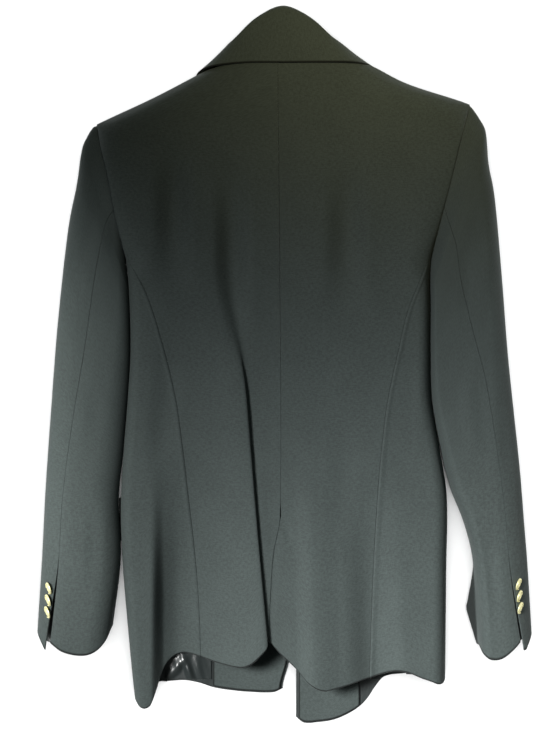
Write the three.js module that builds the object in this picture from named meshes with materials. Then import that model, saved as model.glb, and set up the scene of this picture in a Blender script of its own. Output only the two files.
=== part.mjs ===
import * as THREE from 'three';

// A fitted blazer laid out back up on a flat surface, in millimetres. The origin is on that
// surface under the middle: +X points to the wearer's right sleeve, +Y to the collar, +Z up.
// Every sewn piece is a thin closed wall: an outer face, the same face moved in, and a rim.

// Cloth, seams and layers
const WOOL = 1.8;
const SATIN = 1;
const SEAM_GAP = 0.3;
const ARMHOLE_GAP = 1.4;
const LAYER_GAP = 0.4;
const UNDER_LAYER = WOOL + LAYER_GAP;

// Levels along the body
const UNDERARM_Y = 115;
const ARMHOLE_TURN = 24;
const SEAM_OPENS_Y = 50;
const HEM_Y = -325;
const HEM_WAVE_FROM_Y = -120;
const VENT_TOP_Y = -172;
const BREAK_Y = -45;
const CENTRE_NECK_Y = 347;

// Roundness where the flat tube of the body turns over
const SHOULDER_REACH = 36;
const SIDE_REACH = 26;
const SHOULDER_BRIM = 14;
const SIDE_EDGE_AT = 0.65;
const SHOULDER_UNDER_REACH = 18;

// Height of the back over the surface, down the middle of the body
const FULLNESS = [
  { y: 347, height: 29 },
  { y: 267, height: 33 },
  { y: 165, height: 32 },
  { y: 17, height: 28 },
  { y: -120, height: 30 },
  { y: -325, height: 35 },
];

// One row per level: the outline (edge), the seams that part the side panel from the back and
// from the front, the height of the outline's turn (brim) and of the front's rise to it (under).
const BODY = {
  left: {
    turn: -1,
    neck: { x: -87, y: 327 },
    tip: { x: -209, y: 267 },
    sag: 3,
    rows: [
      { y: 267, edge: -209, brim: 15, under: 0 },
      { y: 240, edge: -203.5, brim: 21, under: 0 },
      { y: 209, edge: -196, brim: 24, under: 0 },
      { y: 165, edge: -187.5, brim: 23, under: 0 },
      { y: 130, edge: -179.5, brim: 18, under: 0 },
      { y: 115, edge: -176, brim: 13, under: 12, backSeam: -173, frontSeam: -173 },
      { y: 80, edge: -173, brim: 13, under: 13, backSeam: -153, frontSeam: -151 },
      { y: 17, edge: -171.5, brim: 13, under: 13, backSeam: -133, frontSeam: -133 },
      { y: -39, edge: -174.5, brim: 13, under: 13, backSeam: -120, frontSeam: -128 },
      { y: -95, edge: -179, brim: 13, under: 13, backSeam: -112, frontSeam: -126 },
      { y: -151, edge: -182, brim: 13, under: 13, backSeam: -106, frontSeam: -126 },
      { y: -200, edge: -180.3, brim: 14, under: 14, backSeam: -101, frontSeam: -127 },
      { y: -262, edge: -173.5, brim: 16, under: 16, backSeam: -96, frontSeam: -129 },
      { y: -325, edge: -166, brim: 18, under: 18, backSeam: -93, frontSeam: -131 },
    ],
  },
  right: {
    turn: 1,
    neck: { x: 90, y: 335 },
    tip: { x: 206, y: 289 },
    sag: 11,
    rows: [
      { y: 289, edge: 206, brim: 16, under: 0 },
      { y: 266, edge: 199.5, brim: 25, under: 0 },
      { y: 246, edge: 194, brim: 28, under: 0 },
      { y: 196, edge: 182, brim: 28, under: 0 },
      { y: 150, edge: 170, brim: 21, under: 0 },
      { y: 115, edge: 162, brim: 13, under: 12, backSeam: 159, frontSeam: 159 },
      { y: 62, edge: 162, brim: 12, under: 12, backSeam: 137, frontSeam: 138 },
      { y: 17, edge: 162, brim: 12, under: 12, backSeam: 126, frontSeam: 128 },
      { y: -39, edge: 163.5, brim: 12, under: 12, backSeam: 114, frontSeam: 124 },
      { y: -95, edge: 173, brim: 12, under: 12, backSeam: 107, frontSeam: 126 },
      { y: -146, edge: 180.5, brim: 13, under: 13, backSeam: 102.5, frontSeam: 130 },
      { y: -218, edge: 179.8, brim: 14, under: 14, backSeam: 98, frontSeam: 133 },
      { y: -325, edge: 178.5, brim: 15, under: 15, backSeam: 94, frontSeam: 136 },
    ],
  },
};

// Centre back: the seam, then below the vent the free edge of the left flap over the right one
const CENTRE_BACK = [
  { y: 347, seam: -8 },
  { y: 90, seam: -5 },
  { y: -172, seam: -5 },
  { y: -218, seam: -12 },
  { y: -263, seam: -15 },
  { y: -325, seam: -17.5 },
];
const UNDERLAP_X = -23;
const UNDERLAP_DROP = 7.5;
const UNDERLAP_SLOPE = 18;
const UNDERLAP_START = 24;

// Levels where the rows of the body's walls run
const ARMHOLE_ROWS = 5;
const SHOULDER_ROWS = 4;
const SIDE_LEVELS = [115, 95, 65, 20, -35, -95, -148, -172, -196, -228, -260, -292, -325];

// Folds of the back. Each runs down a line from x at `from` to xEnd at the hem, grows to `full`
// and, where it has one, fades out at `end`. It lifts the cloth, or sinks it, by `rise`, over
// `west` and `east` on its two sides, and its crest leans over by `lean`.
const FOLDS = [
  { name: 'deep_fold', x: -74, xEnd: -46.5, from: 140, full: -170, rise: 12, west: 52, east: 27, lean: 29 },
  { name: 'beside_fold', x: -16, xEnd: -12, from: 60, full: -290, rise: -5, west: 20, east: 40, lean: 0 },
  { name: 'right_ridge', x: 28, xEnd: 34, from: -60, full: -300, rise: 7, west: 34, east: 40, lean: 0 },
  { name: 'right_hollow', x: 92, xEnd: 100, from: -100, full: -300, rise: -11, west: 34, east: 34, lean: 0 },
  { name: 'side_trough', x: -130, xEnd: -139, from: 20, full: -250, rise: -25, west: 11, east: 26, lean: 0 },
  { name: 'side_roll', x: -153, xEnd: -152, from: -20, full: -250, rise: 4, west: 14, east: 12, lean: 0 },
  { name: 'left_blade', x: -123, xEnd: -123, from: 255, full: 175, end: 95, rise: -4, west: 30, east: 26,
    lean: 0 },
  { name: 'left_middle', x: -62, xEnd: -54, from: 225, full: 130, end: -20, rise: -5, west: 22, east: 26,
    lean: 0 },
  { name: 'right_blade', x: 73, xEnd: 70, from: 240, full: 150, end: 60, rise: -4, west: 30, east: 30,
    lean: 0 },
];

// Hem of each piece of the body, across it from its left end (0) to its right end (1)
const HEMS = {
  back_left: [
    { across: 0, y: -325 }, { across: 0.22, y: -331 }, { across: 0.4, y: -334 }, { across: 0.5, y: -330 },
    { across: 0.64, y: -318 }, { across: 0.8, y: -308 }, { across: 1, y: -300 },
  ],
  back_right: [
    { across: 0, y: -298 }, { across: 0.14, y: -317 }, { across: 0.3, y: -335 }, { across: 0.42, y: -351 },
    { across: 0.56, y: -359 }, { across: 0.68, y: -357 }, { across: 1, y: -347 },
  ],
  side_left: [
    { across: 0, y: -325 }, { across: 0.1, y: -323 }, { across: 0.2, y: -333 }, { across: 0.3, y: -352 },
    { across: 0.38, y: -371 }, { across: 0.45, y: -377 },
    { across: 0.55, y: -374 }, { across: 0.65, y: -369 },
    { across: 0.82, y: -381 }, { across: 0.9, y: -374 }, { across: 0.96, y: -357 }, { across: 1, y: -354 },
  ],
  side_right: [
    { across: 0, y: -347 }, { across: 0.16, y: -338 }, { across: 0.33, y: -347 }, { across: 0.5, y: -353 },
    { across: 0.65, y: -349 }, { across: 1, y: -346 },
  ],
};

// Fronts, face down: the closing edge, then the roll line up to the gorge, and the hem
const FRONTS = {
  left: {
    edge: 6, rollTop: { x: -58, y: 290 }, gorge: { x: -84.5, y: 323 },
    columns: [0, 0.14, 0.27, 0.4, 0.54, 0.67, 0.8, 0.92, 1],
    hem: [
      { across: 0, y: -354 }, { across: 0.15, y: -353 }, { across: 0.28, y: -356 }, { across: 0.4, y: -361 },
      { across: 0.54, y: -364 }, { across: 0.7, y: -366 },
      { across: 0.92, y: -366.5 }, { across: 1, y: -362 },
    ],
  },
  right: {
    edge: 13, rollTop: { x: 61, y: 297 }, gorge: { x: 87, y: 331 },
    columns: [0, 0.07, 0.18, 0.32, 0.46, 0.58, 0.7, 0.82, 0.91, 1],
    hem: [
      { across: 0, y: -394 }, { across: 0.07, y: -400.5 },
      { across: 0.2, y: -400 }, { across: 0.35, y: -397 },
      { across: 0.48, y: -390 }, { across: 0.58, y: -382 },
      { across: 0.65, y: -373 }, { across: 0.72, y: -360 },
      { across: 0.8, y: -349 }, { across: 1, y: -345 },
    ],
  },
};
const FRONT_SWAY = { x: -8, fromY: -290 };

// Turned back edges and the pieces that show below the back's hem
const LAPEL_TIP = { out: 62, y: 238 };
const LAPEL_TOP = { drop: 8, width: 20, slant: 0.25 };
const LAPEL_BELLY = 0.35;
const LAPEL_ROOM = { beside: 10, above: 12, topSlope: 8, lowSlope: 40 };
const UNDER_LIFT = 2.8;
const LIFT_SLOPE = 14;
const BUTTON_SLOPE = 30;
const FACING = {
  left: { edge: 3, outer: -80, top: -225, inset: 1.5 },
  right: { edge: 16, outer: 84, top: -250, inset: 1.5 },
};
const LININGS = {
  left: { left: -130, right: -81.5, top: -290, bottom: -348, wrinkle: 5 },
  right: { left: 85.5, right: 106, top: -290, bottom: -352, wrinkle: 3 },
};

const WRINKLES = { across: 2.4, down: 0.8, atTop: 0.4 };

// Hip pocket flaps on the outside of the fronts
const FLAP = { top: -148, bottom: -196, inner: 50, turnUp: 13 };
const FLAP_ROOM = 15.4;

// Sleeves. One row per step from the armhole (0) to the cuff (1): the ends of a line across the
// sleeve, the elbow seam as a share of that line, and the sleeve's height.
const SLEEVES = {
  left: {
    turn: -1, flare: 0, buttonAcross: 0.145, buttonY: -246,
    rows: [
      { at: 0, outerX: -210, outerY: 266, innerY: 114, away: 1.2, elbow: 0.63, height: 20 },
      { at: 0.015, outerX: -213.5, outerY: 264.5, innerY: 109, away: 1.3, elbow: 0.61, height: 21 },
      { at: 0.04, outerX: -217.5, outerY: 259, innerY: 101, away: 1.5, elbow: 0.58, height: 22 },
      { at: 0.09, outerX: -225, outerY: 242, innerY: 86, away: 1.5, elbow: 0.54, height: 24 },
      { at: 0.2, outerX: -231, outerY: 202, innerY: 60, away: 1.5, elbow: 0.48, height: 28 },
      { at: 0.35, outerX: -241, outerY: 149, innerY: 17, away: 1.5, elbow: 0.44, height: 30 },
      { at: 0.5, outerX: -252, outerY: 50, innerY: -39, away: 1.5, elbow: 0.4, height: 32 },
      { at: 0.65, outerX: -259, outerY: -39, innerY: -95, away: 1.8, elbow: 0.33, height: 35 },
      { at: 0.8, outerX: -266, outerY: -140, innerY: -151, away: 4.6, elbow: 0.27, height: 38 },
      { at: 0.9, outerX: -270, outerY: -218, innerY: -213, away: 7.5, elbow: 0.24, height: 40 },
      { at: 1, outerX: -275, outerY: -297, innerY: -290, away: 22, elbow: 0.2, height: 40 },
    ],
    strip: [{ at: 0, drop: 0 }, { at: 0.12, drop: 18 }],
    under: [
      { at: 0.19, drop: 10 }, { at: 0.36, drop: 21 }, { at: 0.6, drop: 27 }, { at: 0.78, drop: 25 },
      { at: 0.92, drop: 15 }, { at: 1, drop: 0 },
    ],
  },
  right: {
    turn: 1, flare: 10, buttonAcross: 0.22, buttonY: -241.5,
    rows: [
      { at: 0, outerX: 208, outerY: 287, innerY: 114, away: 1.2, elbow: 0.65, height: 30 },
      { at: 0.015, outerX: 211.5, outerY: 283.5, innerY: 109, away: 1.2, elbow: 0.65, height: 31 },
      { at: 0.04, outerX: 217.5, outerY: 275, innerY: 101, away: 1.5, elbow: 0.65, height: 32.5 },
      { at: 0.09, outerX: 223.5, outerY: 261, innerY: 86, away: 1.5, elbow: 0.64, height: 33.5 },
      { at: 0.2, outerX: 227, outerY: 224, innerY: 60, away: 1.5, elbow: 0.58, height: 34.5 },
      { at: 0.35, outerX: 234, outerY: 184, innerY: 17, away: 1.5, elbow: 0.55, height: 35 },
      { at: 0.5, outerX: 242, outerY: 95, innerY: -39, away: 1.5, elbow: 0.44, height: 36 },
      { at: 0.65, outerX: 249, outerY: 6, innerY: -90, away: 1.8, elbow: 0.34, height: 37 },
      { at: 0.8, outerX: 262, outerY: -118, innerY: -140, away: 6, elbow: 0.31, height: 38 },
      { at: 0.9, outerX: 270, outerY: -218, innerY: -218, away: 24, elbow: 0.37, height: 39 },
      { at: 1, outerX: 275, outerY: -299, innerY: -311, away: 37, elbow: 0.25, height: 39 },
    ],
    strip: [{ at: 0, drop: 0 }, { at: 0.13, drop: 14 }],
    under: [
      { at: 0.24, drop: 3 }, { at: 0.38, drop: 10 }, { at: 0.6, drop: 17 }, { at: 0.8, drop: 16 },
      { at: 0.94, drop: 9 }, { at: 1, drop: 0 },
    ],
  },
};
const SLEEVE_BRIM = 12;
const SLEEVE_OUTER_REACH = 34;
const SLEEVE_INNER_REACH = 26;
const SLEEVE_HEM_FROM = 0.8;
const UNDERSIDE_DROP = 14;
const FRONT_SEAM_SHARE = 0.22;
const VENT_FROM = 0.87;
const VENT_SPREAD = 0.075;
const CUFF_FLARE = { row: 0.95, rowReach: 0.09, place: 1.12, reach: 0.16 };

// Collar: stations round the neck, from the wearer's left front to the right front. Each has its
// fold, its outer edge and its neck seam, the way its outer face looks (0 up, 90 out, 180 down)
// and the radius of its roll.
const COLLAR = [
  { fold: [-56, 292, 2.3], edge: [-92, 264, 0], neck: [-59.5, 294.5, 4.6], faces: -180, roll: 2.3 },
  { fold: [-61, 312, 2.3], edge: [-103, 298, 0], neck: [-70, 307.5, 4.6], faces: -180, roll: 2.3 },
  { fold: [-68, 334, 3.4], edge: [-101, 318, 0.4], neck: [-79, 320, 5.6], faces: -168, roll: 2.6 },
  { fold: [-67, 344, 13], edge: [-94.5, 327, 14], neck: [-77.5, 331, 13], faces: -90, roll: 4 },
  { fold: [-55.5, 358.5, 21], edge: [-77, 330.5, 27.8], neck: [-62, 344, 21.5], faces: -24, roll: 4.5 },
  { fold: [-32, 379.5, 25], edge: [-40, 333, 32.8], neck: [-38, 348, 25.4], faces: -8, roll: 4.5 },
  { fold: [-2, 392.5, 26], edge: [-2, 333, 33.6], neck: [-4, 348, 26], faces: 0, roll: 4.5 },
  { fold: [28.5, 380.5, 25], edge: [40, 333.5, 33], neck: [36, 348, 25.4], faces: 8, roll: 4.5 },
  { fold: [53.5, 360, 21], edge: [76, 336, 29.2], neck: [64, 346, 21.5], faces: 24, roll: 4.5 },
  { fold: [69, 347.5, 13], edge: [97.5, 335.5, 13], neck: [80.5, 340, 13], faces: 90, roll: 4 },
  { fold: [71, 341, 3.4], edge: [104, 325, 0.4], neck: [82, 328, 5.6], faces: 168, roll: 2.6 },
  { fold: [65, 319, 2.3], edge: [106, 305, 0], neck: [73, 315, 4.6], faces: 180, roll: 2.3 },
  { fold: [60, 299, 2.3], edge: [96, 270, 0], neck: [63, 301.5, 4.6], faces: 180, roll: 2.3 },
];

// Buttons
const CUFF_BUTTON = { radius: 6.4, height: 3.2, spacing: 13.1, count: 3 };
const FRONT_BUTTON = { radius: 10, height: 3.6, inset: 19, y: -70, hollow: 5, around: 27 };
const BUTTON_SIDES = 16;

// Looks
const WOOL_LOOK = { color: 0x3c443e, roughness: 0.85, metalness: 0 };
const SATIN_LOOK = { color: 0x3a4142, roughness: 0.35, metalness: 0 };
const BRASS_LOOK = { color: 0xcaa84e, roughness: 0.3, metalness: 1 };

const mix = THREE.MathUtils.lerp;
const clamp = (t) => Math.min(1, Math.max(0, t));
const smooth = (t) => clamp(t) ** 2 * (3 - 2 * clamp(t));
const hump = (t) => (Math.abs(t) >= 1 ? 0 : 0.5 + 0.5 * Math.cos(Math.PI * t));
const rise = (distance, reach) => Math.sqrt(1 - (1 - clamp(distance / reach)) ** 2);
const steps = (count, from = 0, to = 1) =>
  Array.from({ length: count + 1 }, (_, k) => mix(from, to, k / count));
const slow = (share) => 0.5 - 0.5 * Math.cos(Math.PI * share);

const TINY = 0.001;

// Value of a column at a place between the rows of a table, on a smooth curve through them.
function along(rows, key, column, place) {
  const known = rows.filter((row) => row[column] !== undefined);
  const last = known.length - 1;
  const down = known[last][key] < known[0][key] ? -1 : 1;
  const next = known.findIndex((row) => down * (row[key] - place) > 0);
  if (next === 0) return known[0][column];
  if (next < 0) return known[last][column];
  const slope = (n) => {
    const before = known[Math.max(n - 1, 0)];
    const after = known[Math.min(n + 1, last)];
    return (after[column] - before[column]) / (after[key] - before[key]);
  };
  const a = known[next - 1];
  const b = known[next];
  const span = b[key] - a[key];
  const t = (place - a[key]) / span;
  return a[column] * (1 + 2 * t) * (1 - t) ** 2 + b[column] * t * t * (3 - 2 * t)
    + span * (slope(next - 1) * t * (1 - t) ** 2 + slope(next) * t * t * (t - 1));
}

// A grid of points on a piece's outer face, and the same points moved away from the cloth.
function outwardAt(face, u, v, turn) {
  const across = face(u + TINY, v).sub(face(u - TINY, v));
  const down = face(u, v + TINY).sub(face(u, v - TINY));
  return across.cross(down).multiplyScalar(turn).normalize();
}

const layer = (face, us, vs, turn, distance) =>
  vs.map((v) => us.map((u) => face(u, v).addScaledVector(outwardAt(face, u, v, turn), distance)));

// A closed wall: the outer face over columns us and rows vs, the same moved in, and the rim.
// With turn 1 the face looks along the cross product of its columns' and rows' directions.
function wall(name, look, face, us, vs, turn, thickness = WOOL) {
  const side = turn * Math.sign(vs[1] - vs[0]);
  const outer = layer(face, us, vs, side, 0);
  const inner = layer(face, us, vs, side, -thickness);
  const rowCount = outer.length;
  const colCount = outer[0].length;
  const at = (layer, j, i) => (layer * rowCount + j) * colCount + i;
  const faces = [];
  const quad = (a, b, c, d) => {
    const [p, q, r, s] = turn > 0 ? [a, b, c, d] : [d, c, b, a];
    faces.push(p, q, r, p, r, s);
  };
  for (let j = 0; j + 1 < rowCount; j += 1) {
    for (let i = 0; i + 1 < colCount; i += 1) {
      quad(at(0, j, i), at(0, j, i + 1), at(0, j + 1, i + 1), at(0, j + 1, i));
      quad(at(1, j + 1, i), at(1, j + 1, i + 1), at(1, j, i + 1), at(1, j, i));
    }
  }
  const rim = (j0, i0, j1, i1) => quad(at(0, j1, i1), at(0, j0, i0), at(1, j0, i0), at(1, j1, i1));
  for (let i = 0; i + 1 < colCount; i += 1) {
    rim(0, i, 0, i + 1);
    rim(rowCount - 1, i + 1, rowCount - 1, i);
  }
  for (let j = 0; j + 1 < rowCount; j += 1) {
    rim(j, colCount - 1, j + 1, colCount - 1);
    rim(j + 1, 0, j, 0);
  }
  const geometry = new THREE.BufferGeometry();
  const points = [...outer.flat(), ...inner.flat()].flatMap((p) => [p.x, p.y, p.z]);
  geometry.setAttribute('position', new THREE.Float32BufferAttribute(points, 3));
  geometry.setIndex(faces);
  geometry.computeVertexNormals();
  return named(name, geometry, look);
}

function named(name, geometry, look) {
  const mesh = new THREE.Mesh(geometry, new THREE.MeshStandardMaterial(look));
  mesh.name = name;
  return mesh;
}

// How far the shoulder line sags inside the straight line from neck to tip.
function sagAt(side, y) {
  const { neck, tip, sag, turn } = BODY[side];
  return turn * sag * hump((2 * (y - tip.y)) / (neck.y - tip.y) - 1);
}

// The body's outline at a level: the shoulder line above the tip, the armhole and side below.
function edgeAt(side, y) {
  const { neck, tip, rows } = BODY[side];
  if (y <= tip.y) return along(rows, 'y', 'edge', y);
  return mix(tip.x, neck.x, (y - tip.y) / (neck.y - tip.y)) - sagAt(side, y);
}

function belowShoulder(side, x, y) {
  const { neck, tip, turn } = BODY[side];
  const run = new THREE.Vector2(neck.x - tip.x, neck.y - tip.y);
  return (turn * ((y - tip.y) * run.x - (x + sagAt(side, y) - tip.x) * run.y)) / run.length();
}

// How far a fold moves the cloth up and sideways at a place.
function foldAt(fold, x, y) {
  const path = mix(fold.x, fold.xEnd, clamp((fold.from - y) / (fold.from - HEM_Y)));
  const grown = smooth((fold.from - y) / (fold.from - fold.full));
  const fading = fold.end === undefined ? 1 : smooth((y - fold.end) / (fold.full - fold.end));
  const share = hump((x - path) / (x < path ? fold.west : fold.east)) * grown * fading;
  return { up: fold.rise * share, sideways: fold.lean * share };
}

// A point of the back's outer face, with the body's roundness and its folds.
function backPoint(side, x, y, drop = 0) {
  const brim = along(BODY[side].rows, 'y', 'brim', y);
  const inside = BODY[side].turn * (edgeAt(side, y) - x);
  const share = rise(belowShoulder(side, x, y), SHOULDER_REACH) * rise(inside, SIDE_REACH);
  const moves = FOLDS.map((fold) => foldAt(fold, x, y));
  const up = moves.reduce((sum, move) => sum + move.up, 0);
  const sideways = moves.reduce((sum, move) => sum + move.sideways, 0);
  const full = along(FULLNESS, 'y', 'height', y) + up - drop;
  return new THREE.Vector3(x + sideways * share, y, mix(brim, full, share));
}

// Which part of the underside something lies on: 1 there, falling to 0 over a short slope.
function lapelZone(side, x, y) {
  const out = BODY[side].turn * (x - rollAt(side, y));
  const { beside, above, topSlope, lowSlope } = LAPEL_ROOM;
  const width = (y > LAPEL_TIP.y ? LAPEL_TIP.out : lapelWidth(side, y)) + beside;
  const acrossIt = smooth((width - out) / LIFT_SLOPE + 1);
  const alongIt = smooth((y - BREAK_Y) / lowSlope + 1);
  return acrossIt * alongIt * smooth((FRONTS[side].gorge.y + above - y) / topSlope);
}

function flapZone(side, x, y) {
  const ways = [BODY[side].turn * x - FLAP.inner, y - FLAP.bottom, FLAP.top - y];
  return ways.reduce((share, way) => share * smooth((way + FLAP_ROOM) / LIFT_SLOPE), 1);
}

function buttonZone(side, x, y) {
  if (side === 'right') return 0;
  const away = Math.hypot(x - frontButtonX(), y - FRONT_BUTTON.y) - FRONT_BUTTON.around;
  return smooth(1 - away / BUTTON_SLOPE);
}

const frontButtonX = () => FRONTS.left.edge - FRONT_BUTTON.inset;

// Height of the underside: flat, raised over what lies on it, and rising to meet the back.
function underHeight(side, x, y) {
  const { turn, rows } = BODY[side];
  const under = along(rows, 'y', 'under', y);
  const inside = turn * (edgeAt(side, y) - x);
  const lift = Math.max(
    UNDER_LIFT * lapelZone(side, x, y),
    UNDER_LIFT * flapZone(side, x, y),
    FRONT_BUTTON.hollow * buttonZone(side, x, y),
  );
  const atShoulder = SHOULDER_BRIM * (1 - rise(belowShoulder(side, x, y), SHOULDER_UNDER_REACH));
  const atSide = under > 0 ? (under - lift) * (1 - rise(inside, under)) : 0;
  return Math.max(lift, atShoulder) + atSide;
}

const underPoint = (side, x, y) => new THREE.Vector3(x, y, underHeight(side, x, y));

// Share of the hem's own waves that a level takes.
const hemShare = (y) => smooth((HEM_WAVE_FROM_Y - y) / (HEM_WAVE_FROM_Y - HEM_Y));
const toHem = (y, hem, across) => y + (along(hem, 'across', 'y', across) - HEM_Y) * hemShare(y);

const bodyLevels = (side, top) => [
  ...steps(SHOULDER_ROWS, top, BODY[side].tip.y).slice(0, -1),
  ...steps(ARMHOLE_ROWS, BODY[side].tip.y, UNDERARM_Y).slice(0, -1), ...SIDE_LEVELS,
];

const centreAt = (y) => along(CENTRE_BACK, 'y', 'seam', y);

// Level of the back's rows, drawn up to the neckline at the centre.
const toNeck = (side, y, share) => {
  const { neck, tip } = BODY[side];
  return y + (CENTRE_NECK_Y - neck.y) * share * smooth((y - tip.y) / (neck.y - tip.y));
};

// Where a panel ends on the outside: at its seam with the side panel, then round the armhole.
function outerX(side, y, seam) {
  const armhole = smooth((y - UNDERARM_Y) / ARMHOLE_TURN);
  const gap = mix(SEAM_GAP, ARMHOLE_GAP, smooth((y - SEAM_OPENS_Y) / (UNDERARM_Y - SEAM_OPENS_Y)));
  return mix(along(BODY[side].rows, 'y', seam, y), edgeAt(side, y), armhole) - (BODY[side].turn * gap) / 2;
}

function backLeft() {
  const face = (share, y) => {
    const x = mix(outerX('left', y, 'backSeam'), centreAt(y) - SEAM_GAP / 2, share);
    return backPoint('left', x, y).setY(toNeck('left', toHem(y, HEMS.back_left, share), share));
  };
  const shares = steps(15).map((t) => 1 - (1 - t) ** 1.3);
  return wall('back_left', WOOL_LOOK, face, shares, bodyLevels('left', BODY.left.neck.y), -1);
}

// The right back runs on under the left one below the top of the vent.
function backRight() {
  const face = (share, y) => {
    const underlap = smooth((VENT_TOP_Y - y) / UNDERLAP_START);
    const lowered = smooth((VENT_TOP_Y + UNDERLAP_START - y) / UNDERLAP_START);
    const inner = mix(centreAt(y) + SEAM_GAP / 2 + lowered, UNDERLAP_X, underlap);
    const x = mix(inner, outerX('right', y, 'backSeam'), share);
    const beside = smooth((centreAt(y) + UNDERLAP_SLOPE - x) / UNDERLAP_SLOPE);
    const drop = UNDERLAP_DROP * beside * lowered;
    const level = toNeck('right', toHem(y, HEMS.back_right, share), 1 - share);
    return backPoint('right', x, y, drop).setY(level);
  };
  const shares = steps(12).map((t) => t ** 1.2);
  return wall('back_right', WOOL_LOOK, face, shares, bodyLevels('right', BODY.right.neck.y), -1);
}

// A side panel goes from the back's seam over the side's edge to the front's seam underneath.
function sidePanel(side) {
  const { turn, rows } = BODY[side];
  const face = (around, y) => {
    const top = around <= SIDE_EDGE_AT;
    const part = top ? 1 - around / SIDE_EDGE_AT : (around - SIDE_EDGE_AT) / (1 - SIDE_EDGE_AT);
    const share = 1 - Math.cos((Math.PI / 2) * part);
    const seam = along(rows, 'y', top ? 'backSeam' : 'frontSeam', y) + (turn * SEAM_GAP) / 2;
    const x = mix(edgeAt(side, y), seam, share);
    const point = top ? backPoint(side, x, y) : underPoint(side, x, y);
    return point.setY(toHem(y, HEMS[`side_${side}`], around));
  };
  const columns = [...steps(8, 0, SIDE_EDGE_AT), ...steps(4, SIDE_EDGE_AT, 1).slice(1)];
  return wall(`side_${side}`, WOOL_LOOK, face, columns, SIDE_LEVELS, -turn);
}

// Where the front's free edge runs: straight up from the hem, then along the roll line.
function rollAt(side, y) {
  const { edge, rollTop } = FRONTS[side];
  return mix(edge, rollTop.x, clamp((y - BREAK_Y) / (rollTop.y - BREAK_Y)));
}

// The left front's edge swings over near the hem.
const swayAt = (side, y) =>
  (side === 'left' ? FRONT_SWAY.x * smooth((FRONT_SWAY.fromY - y) / (FRONT_SWAY.fromY - HEM_Y)) : 0);

function frontInnerX(side, y) {
  const { rollTop, gorge, edge } = FRONTS[side];
  if (y > rollTop.y) return mix(rollTop.x, gorge.x, (y - rollTop.y) / (gorge.y - rollTop.y));
  if (y > BREAK_Y) return rollAt(side, y) + BODY[side].turn * SEAM_GAP;
  return edge + swayAt(side, y);
}

function front(side) {
  const { gorge, hem, columns } = FRONTS[side];
  const face = (share, y) => {
    const ends = [frontInnerX(side, y), outerX(side, y, 'frontSeam')];
    const x = mix(...(side === 'left' ? ends.reverse() : ends), share);
    return underPoint(side, x, y).setY(toHem(y, hem, share));
  };
  return wall(`front_${side}`, WOOL_LOOK, face, columns, bodyLevels(side, gorge.y), 1);
}

// The lapel lies on the outside of the front, from the break up to the gorge.
function lapelWidth(side, y) {
  const up = clamp((y - BREAK_Y) / (LAPEL_TIP.y - BREAK_Y));
  const over = clamp((y - LAPEL_TIP.y) / (lapelTop(side) - LAPEL_TIP.y));
  const belly = mix(up, Math.sin((Math.PI / 2) * up), LAPEL_BELLY);
  return over > 0 ? mix(LAPEL_TIP.out, LAPEL_TOP.width, over) : LAPEL_TIP.out * belly;
}

const lapelTop = (side) => FRONTS[side].rollTop.y - LAPEL_TOP.drop;

function lapel(side) {
  const { turn } = BODY[side];
  const face = (share, y) => {
    const gorge = Math.max(0, y - LAPEL_TIP.y) * share * LAPEL_TOP.slant;
    return new THREE.Vector3(rollAt(side, y) + turn * lapelWidth(side, y) * share, y - gorge, 0);
  };
  const levels = [
    ...steps(6, BREAK_Y + LAPEL_TOP.drop, LAPEL_TIP.y),
    ...steps(3, LAPEL_TIP.y, lapelTop(side)).slice(1),
  ];
  return wall(`lapel_${side}`, WOOL_LOOK, face, steps(3), levels, -turn);
}

// Inside the fronts at the hem: the wool facing by the edge and the satin lining beside it.
function facing(side) {
  const { edge, outer, top, inset } = FACING[side];
  const { rows } = BODY[side];
  const face = (share, y) => {
    const x = side === 'left' ? mix(outer, edge + swayAt(side, y), share) : mix(edge, outer, share);
    const ends = [along(rows, 'y', 'frontSeam', y), frontInnerX(side, y)];
    const [start, end] = side === 'left' ? ends : ends.reverse();
    const level = toHem(y, FRONTS[side].hem, (x - start) / (end - start)) + inset * hemShare(y);
    return new THREE.Vector3(x, level, UNDER_LAYER + WOOL);
  };
  return wall(`facing_${side}`, WOOL_LOOK, face, steps(6), steps(5, top, HEM_Y), -1);
}

function lining(side) {
  const { left, right, top, bottom, wrinkle } = LININGS[side];
  const face = (across, down) => {
    const wave = hump(2 * ((WRINKLES.across * across + WRINKLES.down * down) % 1) - 1);
    const full = Math.sqrt(Math.sin(Math.PI * clamp(across))) * mix(WRINKLES.atTop, 1, down);
    const height = UNDER_LAYER + SATIN + wrinkle * wave * full;
    return new THREE.Vector3(mix(left, right, across), mix(top, bottom, down), height);
  };
  return wall(`lining_${side}`, SATIN_LOOK, face, steps(10), steps(4), -1, SATIN);
}

// The flap lies flat under the front and, on the left, its end turns up round the side.
function pocketFlap(side) {
  const { turn } = BODY[side];
  const face = (share, y) => {
    const edge = edgeAt(side, y) + turn * UNDER_LAYER - (side === 'right' ? 2 * FLAP.turnUp : 0);
    const x = mix(edge, turn * FLAP.inner, 1 - Math.cos((Math.PI / 2) * share));
    const inside = turn * (edgeAt(side, y) + turn * UNDER_LAYER - x);
    return new THREE.Vector3(x, y, FLAP.turnUp * (1 - rise(inside, FLAP.turnUp)));
  };
  return wall(`pocket_flap_${side}`, WOOL_LOOK, face, steps(8), steps(2, FLAP.top, FLAP.bottom), -turn);
}

const sleeveRow = (side, at) => {
  const { rows } = SLEEVES[side];
  const value = (column) => along(rows, 'at', column, at);
  const innerX = edgeAt(side, value('innerY')) + BODY[side].turn * value('away');
  return {
    outer: new THREE.Vector2(value('outerX'), value('outerY')),
    inner: new THREE.Vector2(innerX, value('innerY')),
    elbow: value('elbow'),
    height: value('height'),
  };
};

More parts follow.
